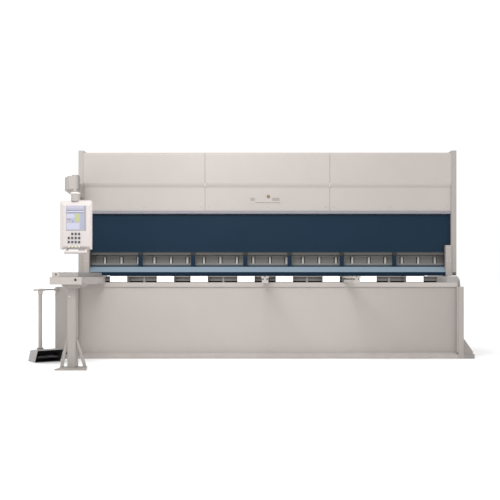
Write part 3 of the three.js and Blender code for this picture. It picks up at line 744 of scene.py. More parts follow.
def window_details():
    """Rails behind the windows, pads round them, and on the clamp bar black strips beside each rib as painted
    shadow and a lighter strip along its top edge as painted highlight.
    """
    for name, y0, y1, z0, z1, coat in (
        ("window_top_rail", -0.183, -0.150, 1.2045, 1.24, rail_grey),
        ("window_low_rail", -0.150, -0.138, 1.088, 1.099, rib_grey),
        ("window_low_plate", -0.149, -0.142, 1.06, 1.0878, slate),
    ):
        bm = bmesh.new()
        add_box(bm, (-2.14, y0, z0), (2.14, y1, z1))
        piece(name, bm, coat, 0.001)
    bm = bmesh.new()
    add_box_pair(bm, (2.0925, 2.17), (-0.09, -0.045), (1.07, 1.246))
    piece("clamp_bar_end_guides", bm, mid_grey, 0.001)
    pads = bmesh.new()
    pad_depth = (beam_face - 0.0014, beam_face - TOUCH)
    for x in WINDOW_POSTS:
        add_box(pads, (x - 0.022, pad_depth[0], 1.197), (x + 0.022, pad_depth[1], 1.238))
    add_box_pair(pads, (2.1175, 2.1255), pad_depth, (1.064, 1.262))
    piece("window_pads", pads, black, 0.0004)
    rib_shadows, cap = meshes(2)
    low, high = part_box("hold_down_clamps")
    half_slot = 0.0055
    # Black strips on both sides of each rib: painted shadow.
    for clamp in clamp_places():
        for x in (clamp - 0.0185, clamp + 0.0185):
            corner = (x + half_slot, CLAMP_BAR_FACE, 1.184)
            add_box(rib_shadows, (x - half_slot, CLAMP_BAR_FACE - 0.001, 1.104), corner)
    piece("clamp_rib_shadow_strips", rib_shadows, black, body="hold_down_clamps")
    # A lighter strip along the bar's top edge: painted highlight.
    add_box(cap, (low.x, -0.0935, 1.187), (high.x, CLAMP_BAR_FACE, 1.1995))
    piece("clamp_bar_edge_highlight", cap, rib_grey, 0.0006, body="hold_down_clamps")


def clamp_cylinders():
    """A small hydraulic cylinder over each hold-down foot, with its rod on the clamp bar."""
    barrels, rods = meshes(2)
    barrel = [(0.013, 1.206), (0.0215, 1.206), (0.023, 1.209), (0.023, 1.2478), (0.013, 1.2478)]
    rod_base, rod_top = 1.1952, 1.2465
    for x in clamp_places():
        add_lathe(barrels, (x, CLAMP_Y, 0), UP, barrel, 20)
        add_disc(rods, (x, CLAMP_Y, 0), UP, 0.0122, rod_top - rod_base, 16, base=rod_base)
    piece("clamp_cylinder_barrels", barrels, dark_grey, 0.0008)
    piece("clamp_cylinder_rods", rods, chrome, body="hold_down_clamps")


# ---------------------------------------------------------------- table and blades


def block_details(blocks):
    """Screws and a ball transfer on each table block, a dark strip along its foot as painted shadow, and dark
    grey sheets on its ends as painted shade.
    """
    caps, balls, cups, end_shades, foot_shadows = meshes(5)
    cup = [(0.012, 0), (0.02, 0), (0.02, 0.0015), (0.0125, 0.0025)]
    ball = [(0.0115 * math.sin(a), 0.0115 * math.cos(a) - 0.007) for a in spread(2.0, 0.0, 7)]
    for low, high in blocks:
        for x in (low.x + 0.03, high.x - 0.03):
            add_button_screw(caps, (x, low.y + 0.045, high.z - 0.002), UP, 0.008)
        place = ((low.x + high.x) / 2, low.y + 0.09, high.z)
        add_lathe(cups, place, UP, cup, 20)
        add_lathe(balls, place, UP, ball, 18)
        # Dark grey sheets on the block's ends: painted shade in the hand recesses.
        for x, side in ((low.x, -1), (high.x, 1)):
            left, right = sorted((x + side * TOUCH, x + side * 0.0014))
            add_box(end_shades, (left, low.y + 0.004, low.z), (right, high.y - 0.001, high.z - 0.002))
        # A dark strip along the foot of the block's front: painted shadow in the gap under it.
        corner = (high.x - 0.001, low.y - TOUCH, low.z + 0.007)
        add_box(foot_shadows, (low.x + 0.001, low.y - 0.0008, low.z), corner)
    piece("table_block_screws", caps, zinc)
    piece("ball_transfer_cups", cups, zinc)
    piece("ball_transfer_balls", balls, chrome)
    piece("recess_cheek_shades", end_shades, recess_shade_grey)
    piece("block_foot_shadows", foot_shadows, grey)


def table_details():
    """The fittings of the table blocks, and the backs and bars of the hand recesses, coated black and dark
    grey as painted shade.
    """
    blocks = [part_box(f"table_block_{i}") for i in range(1, 9)]
    block_details(blocks)
    webs = [(blocks[i][1].x + blocks[i + 1][0].x) / 2 for i in (0, 2, 4, 6)]
    half_web, table_end = 0.0125, 1.9915
    edges = sorted([*mirrored(table_end)] + [x + side * half_web for x in webs for side in (-1, 1)])
    low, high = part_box("table_top")
    back, bars = meshes(2)
    # Black backs and dark grey bars in each recess: painted shade.
    for left, right in zip(edges[::2], edges[1::2]):
        add_box(back, (left, -0.3412, low.z), (right, -0.3402, high.z - 0.0102))
        add_box(bars, (left, -0.372, low.z + 0.017), (right, -0.3415, high.z - 0.014))
    piece("recess_shadow_backs", back, black)
    piece("recess_shade_bars", bars, recess_shade_grey, 0.001)


def blade_bolts():
    """Countersunk screws along the lower blade."""
    low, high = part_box("lower_blade")
    bm = bmesh.new()
    for x in spread(low.x + 0.08, high.x - 0.08, 18):
        add_flush_screw(bm, (x, high.y, (low.z + high.z) / 2 - 0.012), REAR, 0.011)
    piece("lower_blade_screws", bm, black)


# ---------------------------------------------------------------- bed


def bed_details():
    """Bolts on the floor flange, screws of the front panel, and the posts at the bed's two ends."""
    bm = bmesh.new()
    for x in spread(-2.0, 2.0, 5):
        add_hex_bolt(bm, (x, 0.09, 0.036), UP, 0.03)
    piece("floor_bolts", bm, zinc)
    low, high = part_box("bed_front_panel")
    bm = bmesh.new()
    add_screws(bm, FRONT, 0.006, spread(-1.9, 1.9, 9), (low.y,), (low.z + 0.03, high.z - 0.03))
    piece("front_panel_screws", bm, light_grey)
    posts = bmesh.new()
    add_box_pair(posts, (2.181, bed_end - TOUCH), (-0.597, low.y - 0.0003), (0.067, 0.8226))
    piece("bed_corner_posts", posts, corner_post_shaded_grey, 0.002)


# ---------------------------------------------------------------- blade drive and back gauge

TOOTH_PITCH = 0.04 * math.pi / 10
TOOTH_RISE = 0.00405  # of the teeth above and below the pitch line


def gauge_racks():
    """The gauge arms, with rack teeth along the top."""
    pinion_y = gauge_shaft_place()[0]
    for side in ("left", "right"):
        low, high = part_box(f"gauge_arm_{side}")
        outline = [(low.y, low.z), (high.y, low.z), (high.y, high.z)]
        first = math.ceil((low.y + TOOTH_PITCH - pinion_y) / TOOTH_PITCH)
        last = math.floor((high.y - TOOTH_PITCH - pinion_y) / TOOTH_PITCH)
        pitch_line = high.z + 0.001
        for i in range(last, first - 1, -1):
            middle = pinion_y + (i + 0.5) * TOOTH_PITCH
            for offset, rise in ((0.36, -1), (0.16, 1), (-0.16, 1), (-0.36, -1)):
                outline.append((middle + offset * TOOTH_PITCH, pitch_line + rise * TOOTH_RISE))
        outline.append((low.y, high.z))
        bm = bmesh.new()
        add_prism(bm, "x", low.x, high.x, outline)
        obj = piece(f"gauge_rack_{side}", bm, steel, 0.0004, body="blade_beam")
        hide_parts(f"gauge_arm_{side}")


def gauge_shaft():
    """The drive shaft, with a toothed pinion at each end."""
    low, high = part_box("gauge_drive_shaft")
    y, z = gauge_shaft_place()
    outer = (high.z - low.z) / 2
    bm = bmesh.new()
    shaft = [(0, low.x + 0.003), (0.012, low.x), (0.015, low.x + 0.003), (0.015, high.x - 0.003)]
    shaft += [(0.012, high.x), (0, high.x)]
    add_lathe(bm, (0, y, z), (1, 0, 0), shaft, 20)
    teeth, half_width = 20, 0.018
    for x in mirrored(GAUGE_ARM_X):
        outline = []
        for i in range(teeth):
            for offset, rise in ((-0.34, -1), (-0.15, 1), (0.15, 1), (0.34, -1)):
                angle = 2 * math.pi * (i + offset) / teeth - math.pi / 2
                radius = outer + rise * TOOTH_RISE
                outline.append((y + radius * math.cos(angle), z + radius * math.sin(angle)))
        add_prism(bm, "x", x - half_width, x + half_width, outline)
        for sign in (1, -1):
            add_disc(bm, (x + sign * half_width, y, z), (sign, 0, 0), 0.026, 0.008, 20)
    obj = piece("gauge_pinion_shaft", bm, steel, 0.0004, body="gauge_drive")
    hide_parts("gauge_drive_shaft")


def gauge_bearings():
    """Flanged bearings on the outside of the carriages, and screws along the gauge bar."""
    y, z = gauge_shaft_place()
    rings, screws = meshes(2)
    ring = [(0.0158, 0), (0.03, 0), (0.03, 0.008), (0.024, 0.012), (0.0158, 0.012)]
    for x in mirrored(GAUGE_ARM_X):
        for sign in (-1, 1):
            face = x + sign * 0.042
            add_lathe(rings, (face, y, z), (sign, 0, 0), ring, 24)
            for dy in mirrored(0.038):
                add_hex_bolt(screws, (face, y + dy, z), (sign, 0, 0), 0.012)
    low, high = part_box("back_gauge_bar")
    for x in spread(low.x + 0.06, high.x - 0.06, 14):
        add_button_screw(screws, (x, low.y, 0.965), FRONT, 0.008)
    piece("gauge_bearings", rings, black, body="back_gauge")
    piece("gauge_screws", screws, zinc, body="back_gauge")


def cylinder_details():
    """End caps, tie bolts and gland rings on the two blade cylinders."""
    caps, bolts, glands = meshes(3)
    cap_top, bolt_circle = 2.29, 0.066
    cap = [
        (0, 2.2602),
        (0.092, 2.2602),
        (0.092, 2.282),
        (0.084, cap_top),
        (0.03, cap_top),
        (0.026, PORT_TOP),
        (0, PORT_TOP),
    ]
    ring = [(0.0435, 1.684), (0.075, 1.684), (0.08, 1.689), (0.08, 1.6998), (0.0435, 1.6998)]
    for x in mirrored(CYLINDER_X):
        add_lathe(caps, (x, CYLINDER_Y, 0), UP, cap, 32)
        for i in range(8):
            angle = math.pi * (i + 0.5) / 4
            dx, dy = bolt_circle * math.cos(angle), bolt_circle * math.sin(angle)
            add_hex_bolt(bolts, (x + dx, CYLINDER_Y + dy, cap_top), UP, 0.016)
        add_lathe(glands, (x, CYLINDER_Y, 0), UP, ring, 32)
    piece("cylinder_caps", caps, grey, 0.001)
    piece("cylinder_cap_bolts", bolts, zinc)
    piece("cylinder_glands", glands, black, 0.001)


def blade_screws():
    """Countersunk screws through the upper blade into the blade beam, and the bolts of the beam's rib."""
    low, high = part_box("upper_blade")
    blade_height = 0.09
    rake = (high.z - low.z - blade_height) / (high.x - low.x)
    bm = bmesh.new()
    for x in spread(low.x + 0.1, high.x - 0.1, 18):
        edge = low.z + rake * (x - low.x)
        add_flush_screw(bm, (x, low.y, edge + 0.055), FRONT, 0.011)
    piece("upper_blade_screws", bm, black, body="blade_beam")
    bm = bmesh.new()
    for x in spread(-1.9, 1.9, 11):
        add_hex_bolt(bm, (x, 0.136, 1.44), REAR, 0.024)
    piece("beam_rib_bolts", bm, zinc, body="blade_beam")


# ---------------------------------------------------------------- hydraulics at the rear


def hydraulic_pipes():
    """Rigid steel pipes from the valve block on the tank to the two cylinders, with their unions."""
    pipes, unions = meshes(2)
    top, run, level, manifold_y, manifold_top = 2.345, 0.42, 1.99, 0.74, 1.902
    nut = [(0, 0), (0.017, 0), (0.017, 0.02), (0.012, 0.026), (0, 0.026)]
    for sign in (-1, 1):
        x, inner_x = sign * CYLINDER_X, sign * 0.12 - 0.1
        route = [
            (x, CYLINDER_Y, PORT_TOP),
            (x, CYLINDER_Y, top),
            (x, run, top),
            (inner_x, run, top),
            (inner_x, run, level),
            (inner_x, manifold_y, level),
            (inner_x, manifold_y, manifold_top + 0.003),
        ]
        add_tube(pipes, rounded_route(route, 0.03), 0.009)
        for place in ((x, CYLINDER_Y, PORT_TOP), (inner_x, manifold_y, manifold_top)):
            add_lathe(unions, place, UP, nut, 6)
    piece("hydraulic_pipes", pipes, chrome)
    piece("pipe_unions", unions, zinc)
    bm = bmesh.new()
    add_box(bm, (-0.27, 0.69, 1.8502), (0.07, 0.8, manifold_top))
    piece("valve_manifold", bm, dark_grey, 0.003)
    coils = bmesh.new()
    coil = [(0, 0), (0.02, 0), (0.02, 0.07), (0.012, 0.078), (0, 0.078)]
    for x in (-0.2, -0.1, 0.0):
        add_lathe(coils, (x, 0.8, 1.878), REAR, coil, 20)
        add_box(coils, (x - 0.016, 0.82, 1.896), (x + 0.016, 0.862, 1.93))
    piece("valve_coils", coils, black_plastic, 0.001)


def tank_details():
    """Lid, filler cap, sight gauge and drain plug."""
    low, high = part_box("oil_tank")
    lid, bolts, cap = meshes(3)
    lid_top = high.z + 0.006
    add_box(lid, (low.x + 0.06, low.y + 0.04, high.z), (-0.33, high.y - 0.04, lid_top))
    piece("tank_lid", lid, light_grey, 0.002)
    for x in spread(low.x + 0.085, -0.355, 5):
        for y in (low.y + 0.06, high.y - 0.06):
            add_hex_bolt(bolts, (x, y, lid_top), UP, 0.012)
    profile = [(0, 0), (0.034, 0), (0.034, 0.012), (0.045, 0.012), (0.045, 0.05), (0.038, 0.058), (0, 0.058)]
    add_lathe(cap, (-0.55, 0.82, lid_top), UP, profile, 28)
    piece("tank_lid_bolts", bolts, zinc)
    piece("tank_filler_cap", cap, black_plastic, 0.001)
    ends, tube = meshes(2)
    gauge_x = -0.6
    for z in (1.55, 1.735):
        add_box(ends, (gauge_x - 0.02, high.y, z), (gauge_x + 0.02, high.y + 0.014, z + 0.025))
    plug = [(0, 0), (0.02, 0), (0.02, 0.008), (0.012, 0.02), (0, 0.02)]
    add_lathe(ends, (0.6, high.y, 1.5), REAR, plug, 6)
    add_tube(tube, [Vector((gauge_x, high.y + 0.009, z)) for z in (1.574, 1.65, 1.736)], 0.006)
    piece("sight_gauge_ends", ends, black, 0.001)
    piece("sight_gauge_tube", tube, glass)


def add_spoke(bm, centre, angle, reach, size):
    """A bar at a distance from an upright axis, turned to an angle about it."""
    place = Matrix.Translation(centre) @ Matrix.Rotation(angle, 4, "Z") @ Matrix.Translation((reach, 0, 0))
    bmesh.ops.create_cube(bm, size=1, matrix=place @ Matrix.Diagonal((*size, 1)))


def motor_details():
    """Cooling fins, fan cowl and terminal box lid."""
    box_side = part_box("pump_motor")[1].x
    x, y = 0.3, 0.81
    fins, cowl, lid = meshes(3)
    for i in range(28):
        angle = 2 * math.pi * i / 28
        beside_terminal_box = math.cos(angle) > 0.83
        if not beside_terminal_box:
            add_spoke(fins, (x, y, 2.05), angle, 0.136, (0.016, 0.004, 0.24))
    piece("motor_fins", fins, dark_grey, 0.0006)
    inner, outer, base, top = 0.1315, 0.147, 2.19, 2.276
    under = top - 0.014
    shell = [(inner, base), (outer, base), (outer, under), (0.135, top), (0.06, top)]
    shell += [(0.06, under), (inner, under)]
    add_lathe(cowl, (x, y, 0), UP, shell, 36)
    for i in range(8):
        add_spoke(cowl, (x, y, 2.27), 2 * math.pi * i / 8, 0.034, (0.06, 0.005, 0.006))
    add_disc(cowl, (x, y, 2.264), UP, 0.012, 0.011, 20)
    piece("motor_fan_cowl", cowl, dark_grey, 0.0006)
    lid_face = box_side + 0.008
    add_box(lid, (box_side, y - 0.066, 2.014), (lid_face, y + 0.066, 2.146))
    add_screws(lid, (1, 0, 0), 0.006, (lid_face,), (y - 0.055, y + 0.055), (2.026, 2.134))
    piece("motor_terminal_lid", lid, dark_grey, 0.001)


def rear_details():
    """Bolts of the tie beam and stiffeners under the chute."""
    bolts, ribs = meshes(2)
    low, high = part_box("rear_tie_beam")
    for x in mirrored(high.x - 0.06):
        for z in (low.z + 0.06, high.z - 0.06):
            add_hex_bolt(bolts, (x, high.y, z), REAR, 0.03)
    piece("tie_beam_bolts", bolts, zinc)
    outline = [(0.2, 0.6885), (0.3, 0.613), (0.84, 0.193), (0.86, 0.174), (0.8, 0.172), (0.25, 0.587)]
    for x in spread(-1.8, 1.8, 7):
        add_prism(ribs, "x", x - 0.003, x + 0.003, outline)
    piece("chute_ribs", ribs, grey, 0.0008)


# ---------------------------------------------------------------- front arms and leg


def arm_details():
    """End plates and clamp screws on the support arms, and the squaring arm's rule and stop screws."""
    plates, screws, ruler = meshes(3)
    for node in ("support_arm_centre", "support_arm_right"):
        low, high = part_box(node)
        middle = (low.x + high.x) / 2
        corner = (high.x - 0.001, high.y - 0.0003, high.z - 0.002)
        add_box(plates, (low.x + 0.001, high.y - 0.012, low.z - 0.0003), corner)
        xs = (middle - 0.025, middle + 0.025)
        add_screws(screws, UP, 0.006, xs, spread(low.y + 0.08, high.y - 0.08, 4), (high.z,))
    low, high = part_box("squaring_fence")
    ys = spread(low.y + 0.12, high.y - 0.12, 6)
    add_screws(screws, UP, 0.009, ((low.x + high.x) / 2,), ys, (high.z,))
    piece("arm_mount_plates", plates, steel_x, 0.001)
    piece("arm_screws", screws, zinc)
    low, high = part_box("arm_top_rail")
    add_box(ruler, (low.x + 0.03, low.y + 0.02, high.z), (low.x + 0.055, high.y - 0.02, high.z + 0.0012))
    piece("arm_rule", ruler, scale_rule)


def leg_details():
    """Floor bolts, the bolt through the column and the bolts under the head."""
    low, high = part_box("support_leg")
    foot_top = 0.016
    bolts = bmesh.new()
    ys = (low.y + 0.05, low.y + 0.187)
    add_screws(bolts, UP, 0.014, (low.x + 0.04, high.x - 0.04), ys, (foot_top,))
    add_button_screw(bolts, (-2.011, -1.648, 0.742), FRONT, 0.009)
    for x in (-2.075, -1.875):
        for y in (-1.64, -1.52):
            add_hex_bolt(bolts, (x, y, 0.855), (0, 0, -1), 0.016)
    piece("leg_bolts", bolts, zinc)


# ---------------------------------------------------------------- cabinet


def cabinet_details():
    """Louvres, locks and switch plate on the door, and the fixed halves of its hinges."""
    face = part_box("cabinet_door")[0].x + 0.0001
    vents, locks, plate, hinges = meshes(4)
    for row in range(7):
        z = 0.2 + 0.016 * row
        for start in (-0.25, 0.0):
            add_prism(vents, "y", start, start + 0.2, [(face, z), (face - 0.006, z), (face, z + 0.009)])
    piece("door_louvres", vents, light_grey, 0.0004, body="cabinet_door")
    lock = [(0, 0), (0.016, 0), (0.016, 0.004), (0.012, 0.007), (0.012, 0.0085), (0, 0.0085)]
    for z in (0.18, 0.73):
        add_lathe(locks, (face, -0.55, z), (-1, 0, 0), lock, 24)
        add_box(locks, (face - 0.011, -0.56, z - 0.0016), (face - 0.008, -0.54, z + 0.0016))
    piece("door_locks", locks, zinc, body="cabinet_door")
    add_box(plate, (face - 0.0028, -0.468, 0.572), (face, -0.372, 0.668))
    piece("switch_plate", plate, grey, 0.002, body="cabinet_door")
    knuckle = 0.035
    for z in (0.2, 0.64):
        for base in (z - 0.0355, z + 0.0705):
            add_disc(hinges, (HINGE_X, HINGE_Y, base), UP, 0.007, knuckle, 16)
            corner = (HINGE_X + 0.0075, HINGE_Y + 0.003, base + knuckle)
            add_box(hinges, (HINGE_X, HINGE_Y - 0.004, base), corner)
    piece("door_hinge_halves", hinges, zinc, 0.0004)


def cabinet_contents():
    """Mounting plate, wiring ducts, and three rails of switchgear behind the door."""
    low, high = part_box("electrical_cabinet")
    inside = high.x - 0.0195
    plate, ducts, rails, modules, fronts = meshes(5)
    plate_face = inside - 0.003
    touch = plate_face - TOUCH
    left, right = low.y + 0.04, high.y - 0.04
    add_box(plate, (plate_face, left, 0.1), (inside, right, 0.79))
    for z in (0.12, 0.335, 0.545, 0.745):
        add_box(ducts, (plate_face - 0.03, left + 0.01, z), (touch, right - 0.01, z + 0.034))
        lid = (plate_face - 0.0302, right - 0.01, z + 0.035)
        add_box(ducts, (plate_face - 0.034, left + 0.01, z - 0.001), lid)
    rail_face, half_rail = plate_face - 0.0075, 0.0175
    for z, width, height, depth in (
        (0.245, 0.012, 0.06, 0.045),
        (0.457, 0.036, 0.085, 0.06),
        (0.662, 0.054, 0.1, 0.075),
    ):
        add_box(rails, (rail_face, left + 0.02, z - half_rail), (touch, right - 0.02, z + half_rail))
        front, margin, key = rail_face - depth, width * 0.2, height * 0.2
        for i in range(int((right - left - 0.08) / width)):
            is_space = i % 9 == 7
            if is_space:
                continue
            y = left + 0.04 + i * width
            corner = (rail_face - TOUCH, y + width - 0.0012, z + height / 2)
            add_box(modules, (front, y, z - height / 2), corner)
            corner = (front - 0.0001, y + width - margin, z + key)
            add_box(fronts, (front - 0.004, y + margin, z - key), corner)
    piece("mounting_plate", plate, zinc, 0.001)
    piece("wiring_ducts", ducts, grey, 0.001)
    piece("mounting_rails", rails, zinc, 0.0006)
    piece("switchgear", modules, dark_grey, 0.0008)
    piece("switchgear_fronts", fronts, tread_grey, 0.0006)


# ---------------------------------------------------------------- foot pedal

PEDAL_PLACE = Matrix.Translation((-2.493, -0.851, 0)) @ Matrix.Rotation(math.radians(35), 4, "Z")
HOOD_BOSS = (-0.06, -0.04, 0.1423)  # the pole stands here


def pedal_piece(name, bm, material, bevel=0.0, body="machine_frame"):
    """A piece built in the pedal's own directions, turned to where the pedal stands."""
    bmesh.ops.transform(bm, matrix=PEDAL_PLACE, verts=bm.verts)
    piece(name, bm, material, bevel, body)


def pedal_details():
    """Black lining inside the hood, grip strips on the tread and screws at the hood's sides."""
    liner, strips, screws = meshes(3)
    side = [(-0.112, 0.0065), (0.098, 0.0065), (0.0305, 0.1165), (-0.164, 0.1425), (-0.196, 0.128)]
    for sign in (-1, 1):
        add_prism(liner, "x", sign * 0.1401, sign * 0.1417, side)
    add_box(liner, (-0.14, -0.108, 0.0053), (0.14, 0.095, 0.007))
    back = [(0.0985, 0.0075), (0.1, 0.0075), (0.0315, 0.1175), (0.03, 0.1165)]
    roof = [(0.03, 0.1163), (0.03, 0.118), (-0.164, 0.1443)]
    roof += [(-0.198, 0.1335), (-0.198, 0.132), (-0.164, 0.1426)]
    for outline in (back, roof):
        add_prism(liner, "x", -0.14, 0.14, outline)
    pedal_piece("pedal_lining", liner, rubber)
    for row in range(6):
        y = -0.118 + 0.024 * row
        for left, right in ((-0.112, -0.008), (0.008, 0.112)):
            add_box(strips, (left, y, 0.058), (right, y + 0.011, 0.0608))
    pedal_piece("pedal_grip_strips", strips, tread_grey, 0.0008, body="pedal_tread")
    for sign in (-1, 1):
        for y, z in ((0.06, 0.03), (-0.08, 0.03), (0.0, 0.1)):
            add_button_screw(screws, (sign * 0.147, y, z), (sign, 0, 0), 0.006)
    pedal_piece("pedal_screws", screws, zinc)


def pole_details():
    """The clamp and cap of the pedal's pole, and the sleeve and the end ring of its rod."""
    foot = PEDAL_PLACE @ Vector(HOOD_BOSS)
    bar_z, pole_top, rod_radius = 0.796, 0.806, 0.0083
    fittings = bmesh.new()
    clamp = [(0.0212, 0), (0.026, 0), (0.027, 0.003), (0.027, 0.026), (0.026, 0.029), (0.0212, 0.029)]
    add_lathe(fittings, (foot.x, foot.y, bar_z - 0.045), UP, clamp, 28)
    cap = [(0, 0), (0.0205, 0), (0.019, 0.004), (0, 0.005)]
    add_lathe(fittings, (foot.x, foot.y, pole_top), UP, cap, 28)
    end = Vector((-2.418, -0.632, bar_z))
    start = Vector((foot.x, foot.y, bar_z))
    along = (end - start).normalized()
    add_ring(fittings, end - along * 0.03, along, rod_radius, 0.014, 0.018)
    add_ring(fittings, start + along * 0.0215, along, rod_radius, 0.013, 0.05)
    piece("pedal_pole_fittings", fittings, light_grey, 0.0006)


# ---------------------------------------------------------------- control boom and panel


def boom_details():
    """The bracket on the side frame, the pin through it, and the ring and funnel on the drop tube."""
    bracket, pin, ring, funnel = meshes(4)
    back, left, right = -0.2615, -2.257, -2.2
    add_box(bracket, (left, back, 1.77), (right, FRAME_FRONT - 0.0003, 2.076))
    lug = [(left, back), (right, back), (-2.18, -0.3), (-2.18, -0.33)]
    lug += [(-2.205, -0.356), (-2.245, -0.356), (-2.27, -0.33), (-2.27, -0.3)]
    lug_top, lug_base, thickness = 2.0412, 1.792, 0.0128
    for z in (lug_top, lug_base):
        add_prism(bracket, "z", z, z + thickness, lug)
    piece("boom_bracket", bracket, light_grey, 0.0015)
    for z in (1.786, 2.062):
        add_button_screw(pin, (-2.232, back, z), FRONT, 0.008)
    head = [(0, 0), (0.016, 0), (0.016, 0.006), (0.012, 0.01), (0, 0.01)]
    for z, up in ((lug_top + thickness, 1), (lug_base, -1)):
        add_lathe(pin, (*BOOM_PIVOT, z), (0, 0, up), head, 24)
    piece("boom_bracket_pin", pin, zinc)
    bore, rim = 0.0482, 0.0505
    collar = [(bore, 0), (rim, 0), (rim + 0.001, 0.002), (rim + 0.001, 0.006), (rim, 0.008), (bore, 0.008)]
    add_lathe(ring, (TUBE_X, TUBE_Y, 1.822), UP, collar, 36)
    piece("panel_swivel_ring", ring, white, 0.0006, body="control_panel")
    cone = [(0, 1.7275), (0.028, 1.7275), (0.0478, 1.7458), (0, 1.7458)]
    add_lathe(funnel, (TUBE_X, TUBE_Y, 0), UP, cone, 36)
    piece("drop_tube_funnel", funnel, light_grey, body="control_panel")


def screen_details():
    """The screen in its recess, with plain blocks and lines on it, and its bezel."""
    screen = bmesh.new()
    face = PANEL_FRONT + 0.0012
    add_box(screen, (-2.119, face, 1.426), (-1.911, PANEL_FRONT + 0.0038, 1.687))
    piece("panel_screen", screen, screen_glass, body="control_panel")
    for name, coat, x0, x1, z0, z1 in (
        ("screen_header", screen_top, -2.115, -1.934, 1.666, 1.684),
        ("screen_rule_top", screen_dark, -2.118, -1.936, 1.638, 1.6445),
        ("screen_band", screen_light, -2.118, -1.936, 1.622, 1.634),
        ("screen_rule_low", screen_dark, -2.118, -1.936, 1.612, 1.6185),
        ("screen_row_one", screen_light, -2.115, -2.03, 1.56, 1.602),
        ("screen_row_two", screen_dark, -2.115, -2.074, 1.5435, 1.549),
        ("screen_dot", screen_dark, -2.0565, -2.0455, 1.5195, 1.5305),
        ("screen_row_three", screen_light, -2.115, -1.98, 1.44, 1.508),
        ("screen_patch", screen_green, -2.022, -1.977, 1.52, 1.607),
        ("screen_column", screen_side, -1.971, -1.938, 1.45, 1.607),
        ("screen_bezel_side", bezel_grey, -1.9335, -1.9112, 1.4262, 1.6868),
        ("screen_bezel_base", bezel_grey, -2.1188, -1.934, 1.4262, 1.4355),
    ):
        bm = bmesh.new()
        add_box(bm, (x0, face - 0.0006, z0), (x1, face - 0.0001, z1))
        piece(name, bm, coat, body="control_panel")


def panel_details():
    """Button bezels and caps, lighter skins on the case's sides as painted highlight, and the row of lamps.
    """
    bezels, skins, lamps = meshes(3)
    ring = [(0.0132, -0.002), (0.0158, -0.002), (0.0158, 0.0012), (0.0148, 0.0022), (0.0132, 0.0022)]
    dome = [(0, 0), (0.0113, 0), (0.0113, 0.0012), (0.0102, 0.0032)]
    dome += [(0.0075, 0.0048), (0.004, 0.0056), (0, 0.0059)]
    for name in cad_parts:
        if not name.startswith("button"):
            continue
        low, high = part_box(name)
        x, z = (low.x + high.x) / 2, (low.z + high.z) / 2
        add_lathe(bezels, (x, PANEL_FRONT, z), FRONT, ring, 24)
        cap = bmesh.new()
        add_lathe(cap, (x, low.y, z), FRONT, dome, 24)
        piece(f"{name}_cap", cap, button_dark, body=name)
    piece("button_bezels", bezels, button_grey, body="control_panel")
    # Lighter skins on both sides of the case: a painted highlight.
    side = [(-1.358, 1.262), (-1.333, 1.233), (-1.242, 1.233)]
    side += [(-1.242, 1.748), (-1.313, 1.748), (-1.358, 1.7)]
    chamfered = [(max(y, -1.324), z) for y, z in side]
    add_prism(skins, "x", -1.8718, -1.8706, side)
    add_prism(skins, "x", -2.1934, -2.1922, [chamfered[i] for i in (0, 2, 3, 5)])
    piece("panel_side_highlight_skins", skins, side_highlight_white, 0.0005, body="control_panel")
    lens = [(0, 0), (0.0085, 0), (0.0085, 0.0015), (0.006, 0.0035), (0, 0.0042)]
    for column in range(4):
        add_lathe(lamps, (-2.091 + 0.0365 * column, PANEL_FRONT, 1.257), FRONT, lens, 20)
    piece("panel_lamps", lamps, lamp_olive, body="control_panel")


# ---------------------------------------------------------------- floor, lights, camera


def floor():
    """A pale, faintly mottled studio floor."""
    bm = bmesh.new()
    bmesh.ops.create_grid(bm, x_segments=2, y_segments=2, size=60)
    mesh = bpy.data.meshes.new("floor")
    bm.to_mesh(mesh)
    bm.free()
    obj = bpy.data.objects.new("floor", mesh)
    bpy.context.scene.collection.objects.link(obj)
    f = Finish("studio_floor")
    clouds = f.range(f.noise(0.8, 4), 0.3, 0.7, 0, 1)
    f.to(f.mix(clouds, (0.93, 0.93, 0.93), (0.96, 0.96, 0.96)), "Base Color")
    f.to(f.range(f.noise(2.0, 3), 0.3, 0.7, 0.55, 0.7), "Roughness")
    mesh.materials.append(f.material)
    obj.location.z = cad_low.z - 0.0005


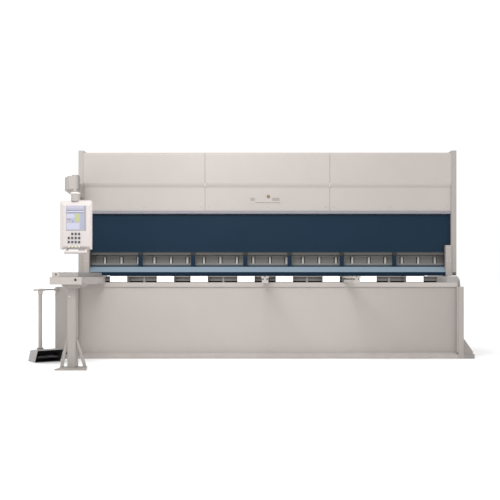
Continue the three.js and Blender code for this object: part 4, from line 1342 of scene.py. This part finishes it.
def area_light(name, place, target, size, watts):
    """A soft square lamp aimed at a point."""
    data = bpy.data.lights.new(name, "AREA")
    data.shape = "RECTANGLE"
    data.size, data.size_y = size
    data.energy = watts
    lamp = bpy.data.objects.new(name, data)
    lamp.location = place
    lamp.rotation_euler = (Vector(target) - Vector(place)).to_track_quat("-Z", "Y").to_euler()
    bpy.context.scene.collection.objects.link(lamp)


def lighting():
    """White all round, brighter overhead and from the left, and a soft lamp in front, high on the left."""
    world = bpy.data.worlds.new("studio")
    world.use_nodes = True
    nodes, links = world.node_tree.nodes, world.node_tree.links
    direction = nodes.new("ShaderNodeSeparateXYZ")
    links.new(nodes.new("ShaderNodeTexCoord").outputs["Generated"], direction.inputs[0])
    total = nodes.new("ShaderNodeMath")
    for i, (axis, low, high, to_low, to_high) in enumerate((("Z", 0, 1, 1.0, 1.3), ("X", -1, 0, 0.4, 0))):
        ramp = nodes.new("ShaderNodeMapRange")
        links.new(direction.outputs[axis], ramp.inputs["Value"])
        settings = {"From Min": low, "From Max": high, "To Min": to_low, "To Max": to_high}
        for name, value in settings.items():
            ramp.inputs[name].default_value = value
        links.new(ramp.outputs[0], total.inputs[i])
    background = nodes["Background"]
    background.inputs["Color"].default_value = (1.0, 1.0, 1.0, 1)
    links.new(total.outputs[0], background.inputs["Strength"])
    bpy.context.scene.world = world
    area_light("key", (-1.1, -3.7, 4.2), (-0.4, -0.2, 1.6), (2.6, 1.4), 128)


def camera():
    """Straight on to the front, at a little under a metre above the floor."""
    data = bpy.data.cameras.new("front_view")
    data.lens = 56.376
    data.shift_x = -0.033
    data.shift_y = 0.052
    obj = bpy.data.objects.new("front_view", data)
    obj.location = (-0.011, -9.6, 0.95)
    obj.rotation_euler = (math.radians(90), 0, 0)
    bpy.context.scene.collection.objects.link(obj)
    bpy.context.scene.camera = obj


trim_strip()
cover_details()
cover_joints()
side_frame_details()
end_cover_details()
window_details()
clamp_cylinders()
table_details()
blade_bolts()
bed_details()
gauge_racks()
gauge_shaft()
gauge_bearings()
cylinder_details()
blade_screws()
hydraulic_pipes()
tank_details()
motor_details()
rear_details()
arm_details()
leg_details()
cabinet_details()
cabinet_contents()
pedal_details()
pole_details()
boom_details()
screen_details()
panel_details()
floor()
lighting()
camera()
bpy.context.scene.view_settings.view_transform = "Standard"

bpy.context.view_layer.update()
